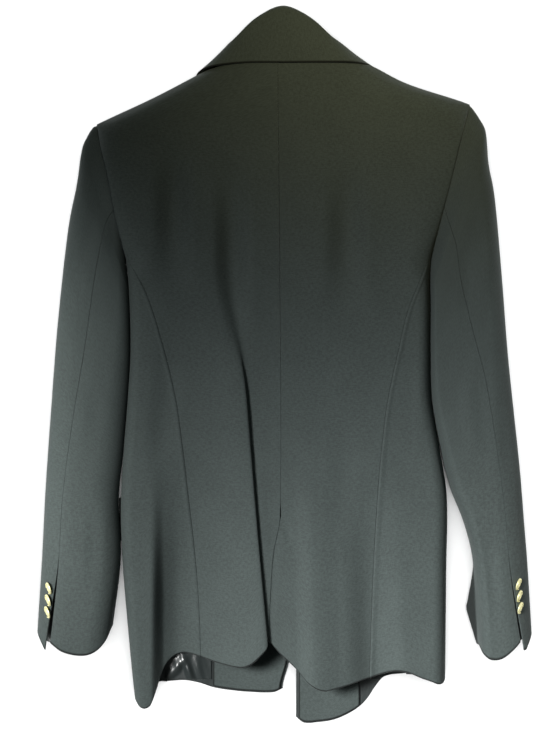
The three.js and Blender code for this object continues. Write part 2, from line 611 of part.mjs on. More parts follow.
// How far the underside of the cuff shows past the top.
function flareAt(flare, at, around) {
  const { row, rowReach, place, reach } = CUFF_FLARE;
  return flare * hump((at - row) / rowReach) * hump((around - place) / reach);
}

// A point round the sleeve: `around` is 0 at the outer edge, 1 at the inner edge over the top
// and 2 back at the outer edge along the underside.
function sleevePoint(side, at, around, hem) {
  const { turn, flare } = SLEEVES[side];
  const { outer, inner, height } = sleeveRow(side, at);
  const onTop = around <= 1;
  const share = slow(onTop ? around : 2 - around);
  const place = outer.clone().lerp(inner, share);
  const width = outer.distanceTo(inner);
  const fromOuter = share * width;
  const fromInner = width - fromOuter;
  const drop = onTop ? along(hem, 'at', 'drop', share) : UNDERSIDE_DROP * Math.sin(Math.PI * share);
  place.y -= drop * smooth((at - SLEEVE_HEM_FROM) / (1 - SLEEVE_HEM_FROM));
  const over = rise(fromOuter, SLEEVE_OUTER_REACH) * rise(fromInner, SLEEVE_INNER_REACH);
  const below = 2 - rise(fromOuter, SLEEVE_BRIM) - rise(fromInner, SLEEVE_BRIM);
  if (!onTop) place.x -= turn * flareAt(flare, at, around);
  return new THREE.Vector3(place.x, place.y, onTop ? mix(SLEEVE_BRIM, height, over) : SLEEVE_BRIM * below);
}

const aroundAt = (share) => Math.acos(1 - 2 * share) / Math.PI;
const SLEEVE_STEPS = [0, 0.04, 0.09, 0.17, 0.28, 0.39, 0.5, 0.61, 0.71, 0.8, 0.87, 0.94, 1];
const SEAM_TURN = 0.003;

const FRONT_SEAM = 1 + aroundAt(FRONT_SEAM_SHARE);

// The top sleeve: from the front seam underneath, round the outer edge, up to the elbow seam.
function topSleeve(side) {
  const { turn, strip } = SLEEVES[side];
  const face = (part, at) => {
    const open = VENT_SPREAD * smooth((at - VENT_FROM) / (1 - VENT_FROM));
    const elbowSeam = aroundAt(sleeveRow(side, at).elbow - open) - SEAM_TURN;
    const around = part < 0 ? mix(2, FRONT_SEAM + SEAM_TURN, -part) : part * elbowSeam;
    return sleevePoint(side, at, around, strip);
  };
  const columns = [...steps(6, -1, 0), ...steps(6).slice(1)];
  return wall(`top_sleeve_${side}`, WOOL_LOOK, face, columns, SLEEVE_STEPS, turn);
}

// The under sleeve: from the elbow seam over the inner edge to the front seam underneath.
function underSleeve(side) {
  const { turn, under } = SLEEVES[side];
  const face = (part, at) => {
    const elbowSeam = aroundAt(sleeveRow(side, at).elbow) + SEAM_TURN;
    return sleevePoint(side, at, mix(elbowSeam, FRONT_SEAM - SEAM_TURN, part), under);
  };
  return wall(`under_sleeve_${side}`, WOOL_LOOK, face, steps(9), SLEEVE_STEPS, turn);
}

// The collar's fall and stand in one piece, rolled over at the fold.
function collar() {
  const axes = ['X', 'Y', 'Z'];
  const rows = COLLAR.map((station, at) => {
    const row = { at, faces: station.faces, roll: station.roll };
    for (const name of ['fold', 'edge', 'neck']) {
      axes.forEach((axis, k) => { row[name + axis] = station[name][k]; });
    }
    return row;
  });
  const value = (column, at) => along(rows, 'at', column, at);
  const spot = (name, at) => new THREE.Vector3(...axes.map((axis) => value(name + axis, at)));
  const face = (part, at) => {
    const fold = spot('fold', at);
    const edge = spot('edge', at);
    const angle = THREE.MathUtils.degToRad(value('faces', at));
    const out = fold.clone().sub(edge).setZ(0).normalize();
    const looks = new THREE.Vector3(out.y, -out.x, 0).multiplyScalar(Math.sin(angle)).setZ(Math.cos(angle));
    const round = (share) => fold.clone()
      .addScaledVector(looks, value('roll', at) * Math.cos(Math.PI * share))
      .addScaledVector(out, value('roll', at) * Math.sin(Math.PI * share));
    const point = part < 2 ? round(Math.max(part - 1, 0)) : round(1).lerp(spot('neck', at), part - 2);
    if (part < 1) point.lerpVectors(edge, point, part);
    return point.setZ(Math.max(point.z, 0));
  };
  const columns = [0, 0.5, 1, 1.25, 1.5, 1.75, 2, 2.5, 3];
  return wall('collar', WOOL_LOOK, face, columns, steps(18, 0, COLLAR.length - 1), -1);
}

// A flat backed button with a raised rim round a low dome.
function buttonShape(radius, height) {
  const profile = [
    [0, 0], [radius * 0.9, 0], [radius, height * 0.3], [radius, height * 0.6], [radius * 0.93, height * 0.8],
    [radius * 0.8, height * 0.7], [radius * 0.5, height * 0.9], [0, height],
  ];
  return new THREE.LatheGeometry(profile.map(([x, y]) => new THREE.Vector2(x, y)), BUTTON_SIDES);
}

// Cuff buttons stand in a row beside the vent, square to the cloth.
function cuffButton(side, index) {
  const { strip, turn, buttonAcross, buttonY } = SLEEVES[side];
  const { radius, height, spacing } = CUFF_BUTTON;
  const around = aroundAt(buttonAcross);
  const face = (a, at) => sleevePoint(side, at, a, strip);
  const at = steps(400, 0.8, 1).find((step) => face(around, step).y <= buttonY - spacing * index);
  const away = outwardAt(face, around, at, turn);
  const mesh = named(`cuff_button_${side}_${index + 1}`, buttonShape(radius, height), BRASS_LOOK);
  mesh.quaternion.setFromUnitVectors(new THREE.Vector3(0, 1, 0), away);
  mesh.position.copy(face(around, at)).addScaledVector(away, 2 * SEAM_GAP);
  return mesh;
}

// The closing button faces the surface from a shallow hollow of the left front.
function frontButton() {
  const mesh = named('front_button', buttonShape(FRONT_BUTTON.radius, FRONT_BUTTON.height), BRASS_LOOK);
  mesh.rotation.x = -Math.PI / 2;
  mesh.position.set(frontButtonX(), FRONT_BUTTON.y, FRONT_BUTTON.height);
  return mesh;
}

const blazer = new THREE.Group();
blazer.add(backLeft(), backRight(), collar(), frontButton());
for (const side of ['left', 'right']) {
  blazer.add(sidePanel(side), front(side), lapel(side), facing(side), lining(side), pocketFlap(side));
  blazer.add(topSleeve(side), underSleeve(side));
  for (let index = 0; index < CUFF_BUTTON.count; index += 1) blazer.add(cuffButton(side, index));
}

export default blazer;
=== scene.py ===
"""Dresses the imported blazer: its cloth, lining and buttons, the floor, lights and camera."""

import math
from functools import partial

import bpy
import numpy as np
from bpy.props import FloatProperty, FloatVectorProperty, PointerProperty
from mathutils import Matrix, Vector


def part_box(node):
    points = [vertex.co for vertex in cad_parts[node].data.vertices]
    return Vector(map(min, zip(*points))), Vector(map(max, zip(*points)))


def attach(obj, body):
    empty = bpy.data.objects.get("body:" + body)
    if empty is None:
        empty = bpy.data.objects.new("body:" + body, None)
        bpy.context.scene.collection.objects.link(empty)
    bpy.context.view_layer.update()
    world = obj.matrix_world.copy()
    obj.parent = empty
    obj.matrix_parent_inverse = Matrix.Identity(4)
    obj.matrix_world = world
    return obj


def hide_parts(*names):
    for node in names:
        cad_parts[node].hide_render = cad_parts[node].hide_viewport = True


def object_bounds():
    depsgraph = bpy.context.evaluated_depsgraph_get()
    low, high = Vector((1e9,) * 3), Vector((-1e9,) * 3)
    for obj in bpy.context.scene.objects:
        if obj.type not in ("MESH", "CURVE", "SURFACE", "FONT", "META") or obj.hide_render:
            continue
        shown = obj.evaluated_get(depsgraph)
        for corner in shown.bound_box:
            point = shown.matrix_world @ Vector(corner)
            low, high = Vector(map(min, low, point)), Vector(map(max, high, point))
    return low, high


bl_info = {
    "name": "Blazer laid out flat",
    "version": (1, 0, 0),
    "blender": (4, 5, 0),
    "location": "3D View > Sidebar > Blazer",
    "description": "Builds the cloth, lining and buttons of a blazer that lies back up",
    "category": "Object",
}

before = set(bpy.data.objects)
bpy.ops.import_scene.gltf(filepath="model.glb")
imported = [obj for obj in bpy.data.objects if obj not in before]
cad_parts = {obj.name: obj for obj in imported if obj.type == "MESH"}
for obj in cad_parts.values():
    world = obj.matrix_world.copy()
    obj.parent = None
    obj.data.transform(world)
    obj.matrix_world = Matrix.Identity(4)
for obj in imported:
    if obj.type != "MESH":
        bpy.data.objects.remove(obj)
CAD_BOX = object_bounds()

# The pattern below is in millimetres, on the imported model's own axes: +X points to the wearer's
# right sleeve, +Y to the collar and +Z up from the surface that the blazer lies on.
MM = 0.001
TINY = 0.001
NO_LENGTH = 1e-12
TURN = {"left": -1, "right": 1}

SEAM_GAP = 0.16
ARMHOLE_GAP = 0.2
SLEEVE_TO_BODY = 0.2
LAYER_GAP = 0.4
UNDERARM_Y = 115
ARMHOLE_TURN = 24
SEAM_OPENS_Y = 50
SIDE_GUSSET = 20
HEM_Y = -325
HEM_WAVE_FROM_Y = -120
VENT_TOP_Y = -172
BREAK_Y = -45
CENTRE_NECK_Y = 347
SHOULDER_REACH = 36
ARMHOLE_REACH = 26
SHOULDER_BRIM = 14
SIDE_EDGE_AT = 0.65
SHOULDER_UNDER_REACH = 18


def table(columns, *rows):
    """The named columns of a short table. A row may leave out its last columns."""
    names = columns.split()
    padded = [list(row) + [math.nan] * (len(names) - len(row)) for row in rows]
    return {name: np.array([row[k] for row in padded], float) for k, name in enumerate(names)}


def creases(*rows):
    """Soft ridges and troughs that run from one spot to another."""
    return table("x y x_end y_end rise width", *rows)


def wave(*rows):
    """Where a piece's hem runs, by the share of the way across the piece."""
    return table("across y", *rows)


def drops(*rows):
    """How far a sleeve's hem drops, by the share of the way across the sleeve."""
    return table("at drop", *rows)


FULLNESS = table("y height", (347, 29), (267, 33), (165, 32), (17, 28), (-120, 30), (-325, 35))

BODY = {
    "left": {
        "neck": (-87, 327),
        "tip": (-209, 267),
        "sag": 3,
        "side_reach": 13,
        "rows": table(
            "y edge brim under back_seam front_seam",
            (267, -209, 15, 0),
            (240, -203.5, 23, 0),
            (209, -196, 27, 0),
            (165, -187.5, 27, 0),
            (130, -179.5, 20, 0),
            (115, -176, 13, 12, -173, -173),
            (80, -173, 13, 13, -153, -151),
            (17, -171.5, 13, 13, -133, -133),
            (-39, -174.5, 13, 13, -120, -128),
            (-95, -179, 13, 13, -112, -126),
            (-151, -182, 13, 13, -106, -126),
            (-200, -180.3, 14, 14, -101, -127),
            (-262, -173.5, 16, 16, -96, -129),
            (-325, -166, 18, 18, -93, -131),
        ),
    },
    "right": {
        "neck": (90, 335),
        "tip": (206, 289),
        "sag": 11,
        "side_reach": 15,
        "rows": table(
            "y edge brim under back_seam front_seam",
            (289, 206, 16, 0),
            (266, 199.5, 25, 0),
            (246, 194, 29, 0),
            (196, 182, 28, 0),
            (150, 170, 21, 0),
            (115, 162, 13, 12, 159, 159),
            (62, 162, 12, 12, 137, 138),
            (17, 162, 12, 12, 126, 128),
            (-39, 163.5, 12, 12, 114, 124),
            (-95, 173, 12, 12, 107, 126),
            (-146, 180.5, 13, 13, 102.5, 130),
            (-218, 179.8, 14, 14, 98, 133),
            (-325, 178.5, 15, 15, 94, 136),
        ),
    },
}

CENTRE_BACK = table(
    "y seam", (347, -8), (90, -5), (-172, -5), (-218, -12), (-263, -15), (-325, -17.5)
)
UNDERLAP_X = -23
UNDERLAP_DROP = 0.6
UNDERLAP_SLOPE = 8
UNDERLAP_START = 24

# Folds that hang from a level down to the hem, and fade out where they have an end
FOLDS = table(
    "x x_end start full rise west east lean end",
    (-79.5, -43.5, 120, -39, 7, 52, 30, 20.5),
    (-14, -10, 60, -290, -1.2, 16, 40, 0),
    (28, 34, -60, -300, 6.5, 22, 40, 0),
    (92, 100, -100, -300, -11, 34, 34, 0),
    (-116, -116, -60, -270, -12, 34, 75, 0),
    (-133, -134.5, -100, -270, -12, 13, 70, 0),
    (-100, -98, -60, -270, -5, 40, 55, 0),
    (-123, -123, 255, 175, -12, 26, 26, 0, 70),
    (-60, -54, 240, 130, -12, 22, 26, 0, -20),
    (70, 68, 240, 150, -10, 28, 28, 0, 50),
)

# A crease sways sideways by a share of its width, so many radians of a wave along it
CREASE_SWAY, CREASE_WAVE = 0.12, 5
BACK_CREASES = creases(
    (-4, -170, 8, -198, -2.2, 5),
    (-128, 60, -134, -160, -3.2, 22),
    (-96, 150, -88, 20, 1.4, 24),
    (40, 190, 34, 40, 1.2, 26),
    (112, 170, 104, 40, -1.1, 30),
    (150, 60, 146, -150, 1.0, 12),
    (60, -30, 66, -200, -1.2, 22),
)
FRONT_CREASES = creases(
    (-60, -120, -66, -330, 1.2, 16),
    (-104, 60, -112, -90, 1.0, 14),
    (96, 40, 104, -110, 1.3, 15),
    (60, -220, 70, -340, 1.1, 13),
)
SLEEVE_CREASES = {
    "left": creases(
        (-196, 190, -212, 90, 1.4, 16),
        (-228, 150, -236, 20, -1.5, 16),
        (-214, 10, -228, -120, 1.2, 15),
        (-246, -60, -252, -190, -1.3, 12),
        (-206, -130, -214, -250, -1.8, 13),
    ),
    "right": creases(
        (196, 150, 206, 40, -1.4, 14),
        (222, 190, 228, 60, 1.3, 15),
        (200, 10, 212, -120, 1.3, 14),
        (240, -20, 250, -150, -1.4, 12),
        (222, -170, 232, -280, -1.6, 13),
    ),
}

HEMS = {
    "back_left": wave(
        (0, -325), (0.22, -331), (0.4, -334), (0.5, -330), (0.64, -318), (0.8, -308), (1, -300)
    ),
    "back_right": wave(
        (0, -298), (0.14, -317), (0.3, -335), (0.42, -351), (0.56, -359), (0.68, -357), (1, -347)
    ),
    "side_left": wave(
        (0, -325), (0.1, -321.5), (0.15, -323), (0.2, -328), (0.25, -339), (0.3, -361),
        (0.34, -374), (0.4, -379), (0.48, -378), (0.55, -373.5), (0.65, -369), (0.75, -372),
        (0.82, -374), (0.88, -366), (0.93, -355), (1, -354),
    ),
    "side_right": wave(
        (0, -347), (0.16, -338), (0.33, -347), (0.5, -353), (0.65, -349), (1, -346)
    ),
    "front_left": wave(
        (0, -354), (0.15, -353), (0.28, -356), (0.4, -361), (0.54, -364), (0.7, -366),
        (0.92, -366.5), (1, -362),
    ),
    "front_right": wave(
        (0, -394), (0.07, -400.5), (0.2, -400), (0.35, -397), (0.48, -390), (0.58, -382),
        (0.65, -373), (0.72, -360), (0.8, -349), (1, -345),
    ),
}

FRONTS = {
    "left": {"edge": 6, "roll_top": (-58, 290), "gorge": (-84.5, 323)},
    "right": {"edge": 13, "roll_top": (61, 297), "gorge": (87, 331)},
}
SWAY, SWAY_FROM_Y = -8, -290
LAPEL_OUT = 62
LAPEL_BELLY = 0.35
LAPEL_START_Y = BREAK_Y + 8
LAPEL_TIP_Y = 238
LAPEL_TOP_DROP = 8
LAPEL_TOP_WIDTH = 20
GORGE_SLANT = 0.25
# How the underside is lifted over what lies on it, how far past its edges and how softly
UNDER_LIFT = 2.8
LIFT_SLOPE = 14
LAPEL_MARGIN, LAPEL_END_SLOPE = 10, 40
GORGE_MARGIN, GORGE_SLOPE = 12, 8
FLAP_MARGIN_SHARE = 1.1
BUTTON_SLOPE = 30
BUTTON_INSET = 19
BUTTON_Y = -70
BUTTON_HOLLOW = 5
BUTTON_AROUND = 27

FACING = {
    "left": {"edge": 3, "outer": -80, "top": -225, "inset": 1.5},
    "right": {"edge": 16, "outer": 84, "top": -250, "inset": 1.5},
}
LININGS = {
    "left": {
        "left": -134, "right": -81.5, "top": -290, "bottom": -351.5,
        "creases": creases(
            (-136, -362, -106, -316, 4.5, 8),
            (-116, -318, -98, -366, 3.4, 7),
            (-103, -312, -88, -360, 1.8, 6),
            (-126, -330, -118, -372, -1.2, 5),
        ),
    },
    "right": {
        "left": 85.5, "right": 106, "top": -290, "bottom": -352,
        "creases": creases((88, -310, 98, -366, 2.2, 7)),
    },
}
SATIN_SAG = 0.5
SATIN_WAVES = (3.1, 7)
SATIN_EDGE_LOFT = 0.01
SATIN_PITCH = 1.2
FLAP_TOP, FLAP_BOTTOM, FLAP_INNER, FLAP_TURN_UP = -148, -196, 50, 13

SLEEVE_LENGTH = 590
SLEEVES = {
    "left": {
        "flare": 0,
        "inner_reach": 30,
        "step": 5,
        "rows": table(
            "at outer_x outer_y inner_y away elbow height",
            (0, -210, 266, 114, 1.2, 0.63, 20),
            (0.015, -213.5, 264.5, 109, 1.3, 0.61, 21),
            (0.04, -217.5, 259, 101, 1.5, 0.58, 22),
            (0.09, -225, 242, 86, 1.5, 0.54, 24),
            (0.2, -231, 202, 60, 1.5, 0.48, 28),
            (0.35, -241, 149, 17, 1.5, 0.44, 30),
            (0.5, -252, 50, -39, 1.5, 0.4, 32),
            (0.65, -259, -39, -95, 1.6, 0.33, 35),
            (0.8, -266, -140, -151, 4.0, 0.27, 38),
            (0.9, -270, -218, -213, 4.4, 0.24, 40),
            (1, -275, -297, -290, 22, 0.2, 40),
        ),
        "strip": drops((0, 0), (0.12, 18)),
        "lower": drops((0, 0), (0.1, 12.5), (0.22, 15), (0.5, 15), (1, 0)),
        "under": drops((0.19, 10), (0.36, 21), (0.6, 27), (0.78, 25), (0.92, 15), (1, 0)),
    },
    "right": {
        "flare": 13.5,
        "inner_reach": 12,
        "step": 0,
        "rows": table(
            "at outer_x outer_y inner_y away elbow height",
            (0, 208, 288.5, 114, 1.2, 0.65, 30),
            (0.015, 211.5, 284.5, 109, 1.2, 0.65, 31),
            (0.04, 217.5, 275, 101, 1.5, 0.65, 32.5),
            (0.09, 223.5, 261, 86, 1.5, 0.64, 33.5),
            (0.2, 227, 224, 60, 1.5, 0.58, 34.5),
            (0.35, 234, 184, 17, 1.5, 0.55, 35),
            (0.5, 242, 95, -39, 1.5, 0.44, 36),
            (0.65, 249, 6, -90, 1.8, 0.34, 37),
            (0.8, 262, -118, -140, 6.5, 0.31, 38),
            (0.85, 266, -168, -179, 21, 0.34, 38.5),
            (0.9, 270, -218, -218, 31, 0.37, 39),
            (1, 275, -299, -311, 38, 0.25, 39),
        ),
        "strip": drops((0, 0), (0.13, 14)),
        "lower": drops((0, 0), (0.25, 10), (0.5, 14), (0.75, 10), (1, 0)),
        "under": drops((0.24, 3), (0.38, 10), (0.6, 17), (0.8, 16), (0.94, 9), (1, 0)),
    },
}
SLEEVE_BRIM = 12
CAP_BRIM_REACH = 4
AWAY_AT_ARMHOLE = 1.5
SLEEVE_OUTER_REACH = 34
SEATED_UNTIL = 0.11
STEP_GROWS = 110
SLEEVE_HEM_FROM = 0.8
# Where the right cuff's lower layer comes out, and how far on both sides of that: along the
# sleeve, and round it
FLARE_AT, FLARE_REACH = 0.957, 0.055
FLARE_AROUND, FLARE_WIDTH = 1.14, 0.14
# How fast the painted shade on that layer sets in along the sleeve, how far round it reaches,
# and how dark it gets
TUCK_FADE, TUCK_EDGE, PAINTED_TUCK_SHADE = 8, 0.03, 0.3
FRONT_SEAM_SHARE = 0.22
VENT_FROM = 0.87
VENT_SPREAD = 0.075
SEAM_TURN = 0.0008
SEAM_LIFT = 1.0
SEAM_CREST = 2.2
SEAM_PRESSED = 2.8

# Stations round the neck: the collar's fold, outer edge and neck seam, the way its outer face
# looks (0 up, 90 out, 180 down) and the radius of its roll
COLLAR = table(
    "at fold_x fold_y fold_z edge_x edge_y edge_z neck_x neck_y neck_z faces roll",
    (0, -56, 292, 2.3, -92, 264, 0, -59.5, 294.5, 4.6, -180, 2.3),
    (1, -61, 312, 2.3, -103, 298, 0, -70, 307.5, 4.6, -180, 2.3),
    (2, -68, 334, 3.4, -101, 318, 0.4, -79, 320, 5.6, -168, 2.6),
    (3, -67, 344, 13, -94.5, 327, 14, -77.5, 331, 13, -90, 4),
    (4, -55.5, 358.5, 21, -77, 330.5, 27.8, -60, 341, 19.5, -24, 4.5),
    (5, -32, 379.5, 25, -40, 333, 32.2, -37, 344, 24.6, -8, 4.5),
    (6, -2, 392.5, 26, -2, 333, 33.0, -4, 348, 26, 0, 4.5),
    (7, 28.5, 380.5, 25, 40, 333.5, 32.4, 35, 344, 24.6, 8, 4.5),
    (8, 53.5, 360, 21, 76, 334, 28.6, 61, 343, 19.5, 24, 4.5),
    (9, 69, 347, 13, 97, 332.5, 14, 80.5, 340, 13, 90, 4),
    (10, 71, 341, 3.4, 104, 325, 0.4, 82, 328, 5.6, 168, 2.6),
    (11, 65, 319, 2.3, 106, 305, 0, 73, 315, 4.6, 180, 2.3),
    (12, 60, 299, 2.3, 96, 270, 0, 63, 301.5, 4.6, 180, 2.3),
)
# About how far apart the stations are, and the rows of the collar's mesh
COLLAR_STATION = 36
COLLAR_PITCH = 2

CUFF_BUTTONS = 3
CUFF_BUTTON = {"radius": 0.0069, "height": 0.0024}
# The way a cuff button looks: outwards and a little down, as its thread lets it hang
BUTTON_LOOKS = (0.89, -0.27, 0.38)
BUTTON_FACETS = 96
BUTTON_RINGS = 37
# A button's section from the middle of its back to the middle of its face, as shares of its
# radius and of its height
BUTTON_SECTION = (
    (0, 0), (0.88, 0), (0.97, 0.12), (1, 0.36), (0.985, 0.62), (0.93, 0.84), (0.86, 0.94),
    (0.79, 0.86), (0.75, 0.62), (0.71, 0.55), (0.66, 0.6), (0.6, 0.78), (0.5, 0.9),
    (0.38, 0.97), (0.33, 0.9), (0.28, 0.88), (0.22, 0.97), (0.1, 1), (0, 1),
)
BEADS = {"at": 0.88, "reach": 0.1, "count": 26}
RAYS = {"at": 0.52, "reach": 0.15, "count": 16}
BEAD_RELIEF, RAY_RELIEF, RELIEF_FROM = 0.08, 0.07, 0.4

# How far in from an edge the close rows of a cloth's mesh stand
CLOSE = np.array([0, 0.15, 0.42, 0.85, 1.6, 3.0])
# Rows shorter than this draw their close columns nearer together
SHORT_ROW = 30
# How finely a row's length is measured
ROW_SAMPLES = 361
# How round a cloth's edge is where it is sewn and where it is turned, and how much of its wall
# the rounding leaves
SEWN, TURNED = 0.25, 0.8
RIM_WALL = 0.1
PANEL = (SEWN, SEWN, SEWN, TURNED)
PATCH = (TURNED, TURNED, TURNED, TURNED)
HEM_CURL = 2.2
# How dark the painted shade along a turned edge is, and where it starts and stops to fade, in
# metres from the edge
PAINTED_EDGE_SHADE, EDGE_FADES = 0.25, (0.0008, 0.0027)
# The wool is this much darker than its patterns add up to
WOOL_DARKER = 0.085
NOISE_ROUGHNESS = 0.55

# Each light's size, where it stands, what it shines at, its colour and its spread, in metres and
# degrees
LIGHTS = {
    "Key light": ((0.55, 0.55), (-0.9, 0, 1.5), (0.29, -0.48, 0), (1, 1, 0.99), 37),
    "Light from the left": (
        (0.44, 0.1), (-0.5, -0.08, 0.9), (-0.34, -0.08, 0), (1, 1, 0.97), 24
    ),
    "Light from the right": (
        (0.6, 0.15), (0.55, -0.15, 0.25), (0.27, -0.15, 0), (1, 0.97, 0.9), 36
    ),
    "Light behind the collar": (
        (0.3, 0.3), (0.3, 0.55, 1.3), (0.14, 0.45, 0), (1, 0.88, 0.5), 31
    ),
    "Floor light": ((5, 5), (0, 0, 2), (0, 0, 0), (1, 1, 1), 180),
}
# The left light stands further off, so it has this many times the side lights' power
LEFT_LIGHT_STRONGER = 7
WORLD_COLOUR, WORLD_STRENGTH = (0.9, 1.0, 0.98, 1.0), 0.09
FLOOR_REACH, FLOOR_GAP = 4, 0.0002
CORNERS = ((-1, -1), (1, -1), (1, 1), (-1, 1))
CAMERA_OFF_MIDDLE = (-0.0106, -0.0002)


class BlazerSizes(bpy.types.PropertyGroup):
    """Sizes of the cloth and of its mesh."""

    wool: FloatProperty(
        name="Wool", description="Thickness of the wool and its lining", default=0.0018,
        unit="LENGTH",
    )
    satin: FloatProperty(
        name="Satin", description="Thickness of the loose satin", default=0.001, unit="LENGTH"
    )
    pitch: FloatProperty(
        name="Mesh", description="Spacing of the cloth's mesh", default=0.003, unit="LENGTH"
    )
    creases: FloatProperty(
        name="Creases", description="How deep the soft creases are", default=1.0, subtype="FACTOR"
    )
    twill: FloatProperty(
        name="Twill", description="Spacing of the twill's ribs", default=0.0016, unit="LENGTH"
    )


class BlazerColours(bpy.types.PropertyGroup):
    """Colours of the cloth, the lining and the buttons."""

    wool: FloatVectorProperty(
        name="Wool", description="Colour of the wool", default=(0.034, 0.0425, 0.0413),
        size=3, subtype="COLOR",
    )
    fleck: FloatVectorProperty(
        name="Fleck", description="Colour of the pale fibres", default=(0.082, 0.1025, 0.0992),
        size=3, subtype="COLOR",
    )
    satin: FloatVectorProperty(
        name="Satin", description="Colour of the lining", default=(0.016, 0.02, 0.02),
        size=3, subtype="COLOR",
    )
    brass: FloatVectorProperty(
        name="Brass", description="Colour of the buttons", default=(0.92, 0.88, 0.5),
        size=3, subtype="COLOR",
    )
    tarnish: FloatVectorProperty(
        name="Tarnish", description="Colour in the buttons' hollows", default=(0.5, 0.44, 0.2),
        size=3, subtype="COLOR",
    )
    floor: FloatVectorProperty(
        name="Floor", description="Colour of the floor", default=(0.9, 0.9, 0.9),
        size=3, subtype="COLOR",
    )


class BlazerStage(bpy.types.PropertyGroup):
    """The camera and the lights."""

    height: FloatProperty(
        name="Camera height", description="Height of the camera over the floor", default=2.0,
        unit="LENGTH",
    )
    lens: FloatProperty(
        name="Lens", description="Focal length of the camera", default=87.7, unit="CAMERA"
    )
    key: FloatProperty(
        name="Key light", description="Power of the light over the hem", default=5.0, unit="POWER"
    )
    side: FloatProperty(
        name="Side lights", description="Power of the right one, which the left one follows",
        default=0.1, unit="POWER",
    )
    fill: FloatProperty(
        name="Warm light", description="Power of the light behind the collar", default=0.54,
        unit="POWER",
    )
    wash: FloatProperty(
        name="Floor light", description="Power of the light on the floor", default=190,
        unit="POWER",
    )


def sizes():
    """The sizes as the panel has them."""
    return bpy.context.scene.blazer_sizes


def colours():
    """The colours as the panel has them."""
    return bpy.context.scene.blazer_colours


# Shapes of the pattern


def mix(a, b, share):
    """The value a share of the way from a to b."""
    return a + (b - a) * share


def clamp(t):
    """t held between 0 and 1."""
    return np.clip(t, 0, 1)


def smooth(t):
    """A soft step from 0 to 1."""
    return clamp(t) ** 2 * (3 - 2 * clamp(t))


def part_of(value, start, end):
    """The share of the way from start to end that a value is at, from 0 to 1."""
    return clamp((value - start) / (end - start))


def step(value, start, end):
    """A soft step, 0 where a value is at start and 1 where it is at end."""
    return smooth((value - start) / (end - start))


def hump(t):
    """A soft hump, 1 at the middle and 0 from 1 away."""
    return 0.5 + 0.5 * np.cos(math.pi * np.clip(t, -1, 1))


def rise(distance, reach):
    """The share of its full height that cloth has at a distance from where it turns over."""
    return np.sqrt(1 - (1 - clamp(distance / reach)) ** 2)


def stack(x, y, z):
    """Points with these coordinates."""
    return np.stack(np.broadcast_arrays(x, y, z), axis=-1)


def along(rows, column, place):
    """A column's value at a place in the table's first column, on a smooth curve through it."""
    known = ~np.isnan(rows[column])
    keys, values = next(iter(rows.values()))[known], rows[column][known]
    if keys[-1] < keys[0]:
        keys, values = keys[::-1], values[::-1]
    count = len(keys)
    before = np.maximum(np.arange(count) - 1, 0)
    after = np.minimum(np.arange(count) + 1, count - 1)
    slope = (values[after] - values[before]) / (keys[after] - keys[before])
    place = np.clip(place, keys[0], keys[-1])
    n = np.clip(np.searchsorted(keys, place, side="right") - 1, 0, count - 2)
    span = keys[n + 1] - keys[n]
    t = (place - keys[n]) / span
    ends = values[n] * (1 + 2 * t) * (1 - t) ** 2 + values[n + 1] * t * t * (3 - 2 * t)
    return ends + span * (slope[n] * t * (1 - t) ** 2 + slope[n + 1] * t * t * (t - 1))


def rows_of(columns):
    """A table's rows, each with its columns' names."""
    return [dict(zip(columns, row)) for row in zip(*columns.values())]


def body_at(side, column, y):
    """A column of the body's table at a level."""
    return along(BODY[side]["rows"], column, y)


def sleeve_at(side, column, at):
    """A column of a sleeve's table at a share of its length."""
    return along(SLEEVES[side]["rows"], column, at)


def crease_lift(lines, x, y):
    """How far the creases lift the cloth at a place."""
    lift = 0
    for k, row in enumerate(rows_of(lines)):
        run_x, run_y = row["x_end"] - row["x"], row["y_end"] - row["y"]
        length = math.hypot(run_x, run_y)
        down = ((x - row["x"]) * run_x + (y - row["y"]) * run_y) / length**2
        off = ((x - row["x"]) * run_y - (y - row["y"]) * run_x) / length
        bend = CREASE_SWAY * row["width"] * np.sin(CREASE_WAVE * down + k)
        lift = lift + row["rise"] * hump((off + bend) / row["width"]) * hump(2 * down - 1)
    return lift * sizes().creases


def sag_at(side, y):
    """How far the shoulder line sags inside the straight line from neck to tip."""
    body = BODY[side]
    up = (y - body["tip"][1]) / (body["neck"][1] - body["tip"][1])
    return TURN[side] * body["sag"] * hump(2 * up - 1)


def edge_at(side, y):
    """The body's outline at a level: the shoulder line over the tip, the side below it."""
    body = BODY[side]
    tip_x, tip_y = body["tip"]
    neck_x, neck_y = body["neck"]
    shoulder = mix(tip_x, neck_x, (y - tip_y) / (neck_y - tip_y)) - sag_at(side, y)
    return np.where(y <= tip_y, body_at(side, "edge", y), shoulder)


def below_shoulder(side, x, y):
    """Distance from the shoulder line."""
    body = BODY[side]
    tip_x, tip_y = body["tip"]
    run_x, run_y = body["neck"][0] - tip_x, body["neck"][1] - tip_y
    off = (y - tip_y) * run_x - (x + sag_at(side, y) - tip_x) * run_y
    return TURN[side] * off / math.hypot(run_x, run_y)


def folds_at(x, y):
    """How far the folds move the cloth up and sideways at a place."""
    up, sideways = 0, 0
    for fold in rows_of(FOLDS):
        path = mix(fold["x"], fold["x_end"], part_of(y, fold["start"], HEM_Y))
        share = hump((x - path) / np.where(x < path, fold["west"], fold["east"]))
        share = share * step(y, fold["start"], fold["full"])
        if not math.isnan(fold["end"]):
            share = share * step(y, fold["end"], fold["full"])
        up = up + fold["rise"] * share
        sideways = sideways + fold["lean"] * share
    return up, sideways


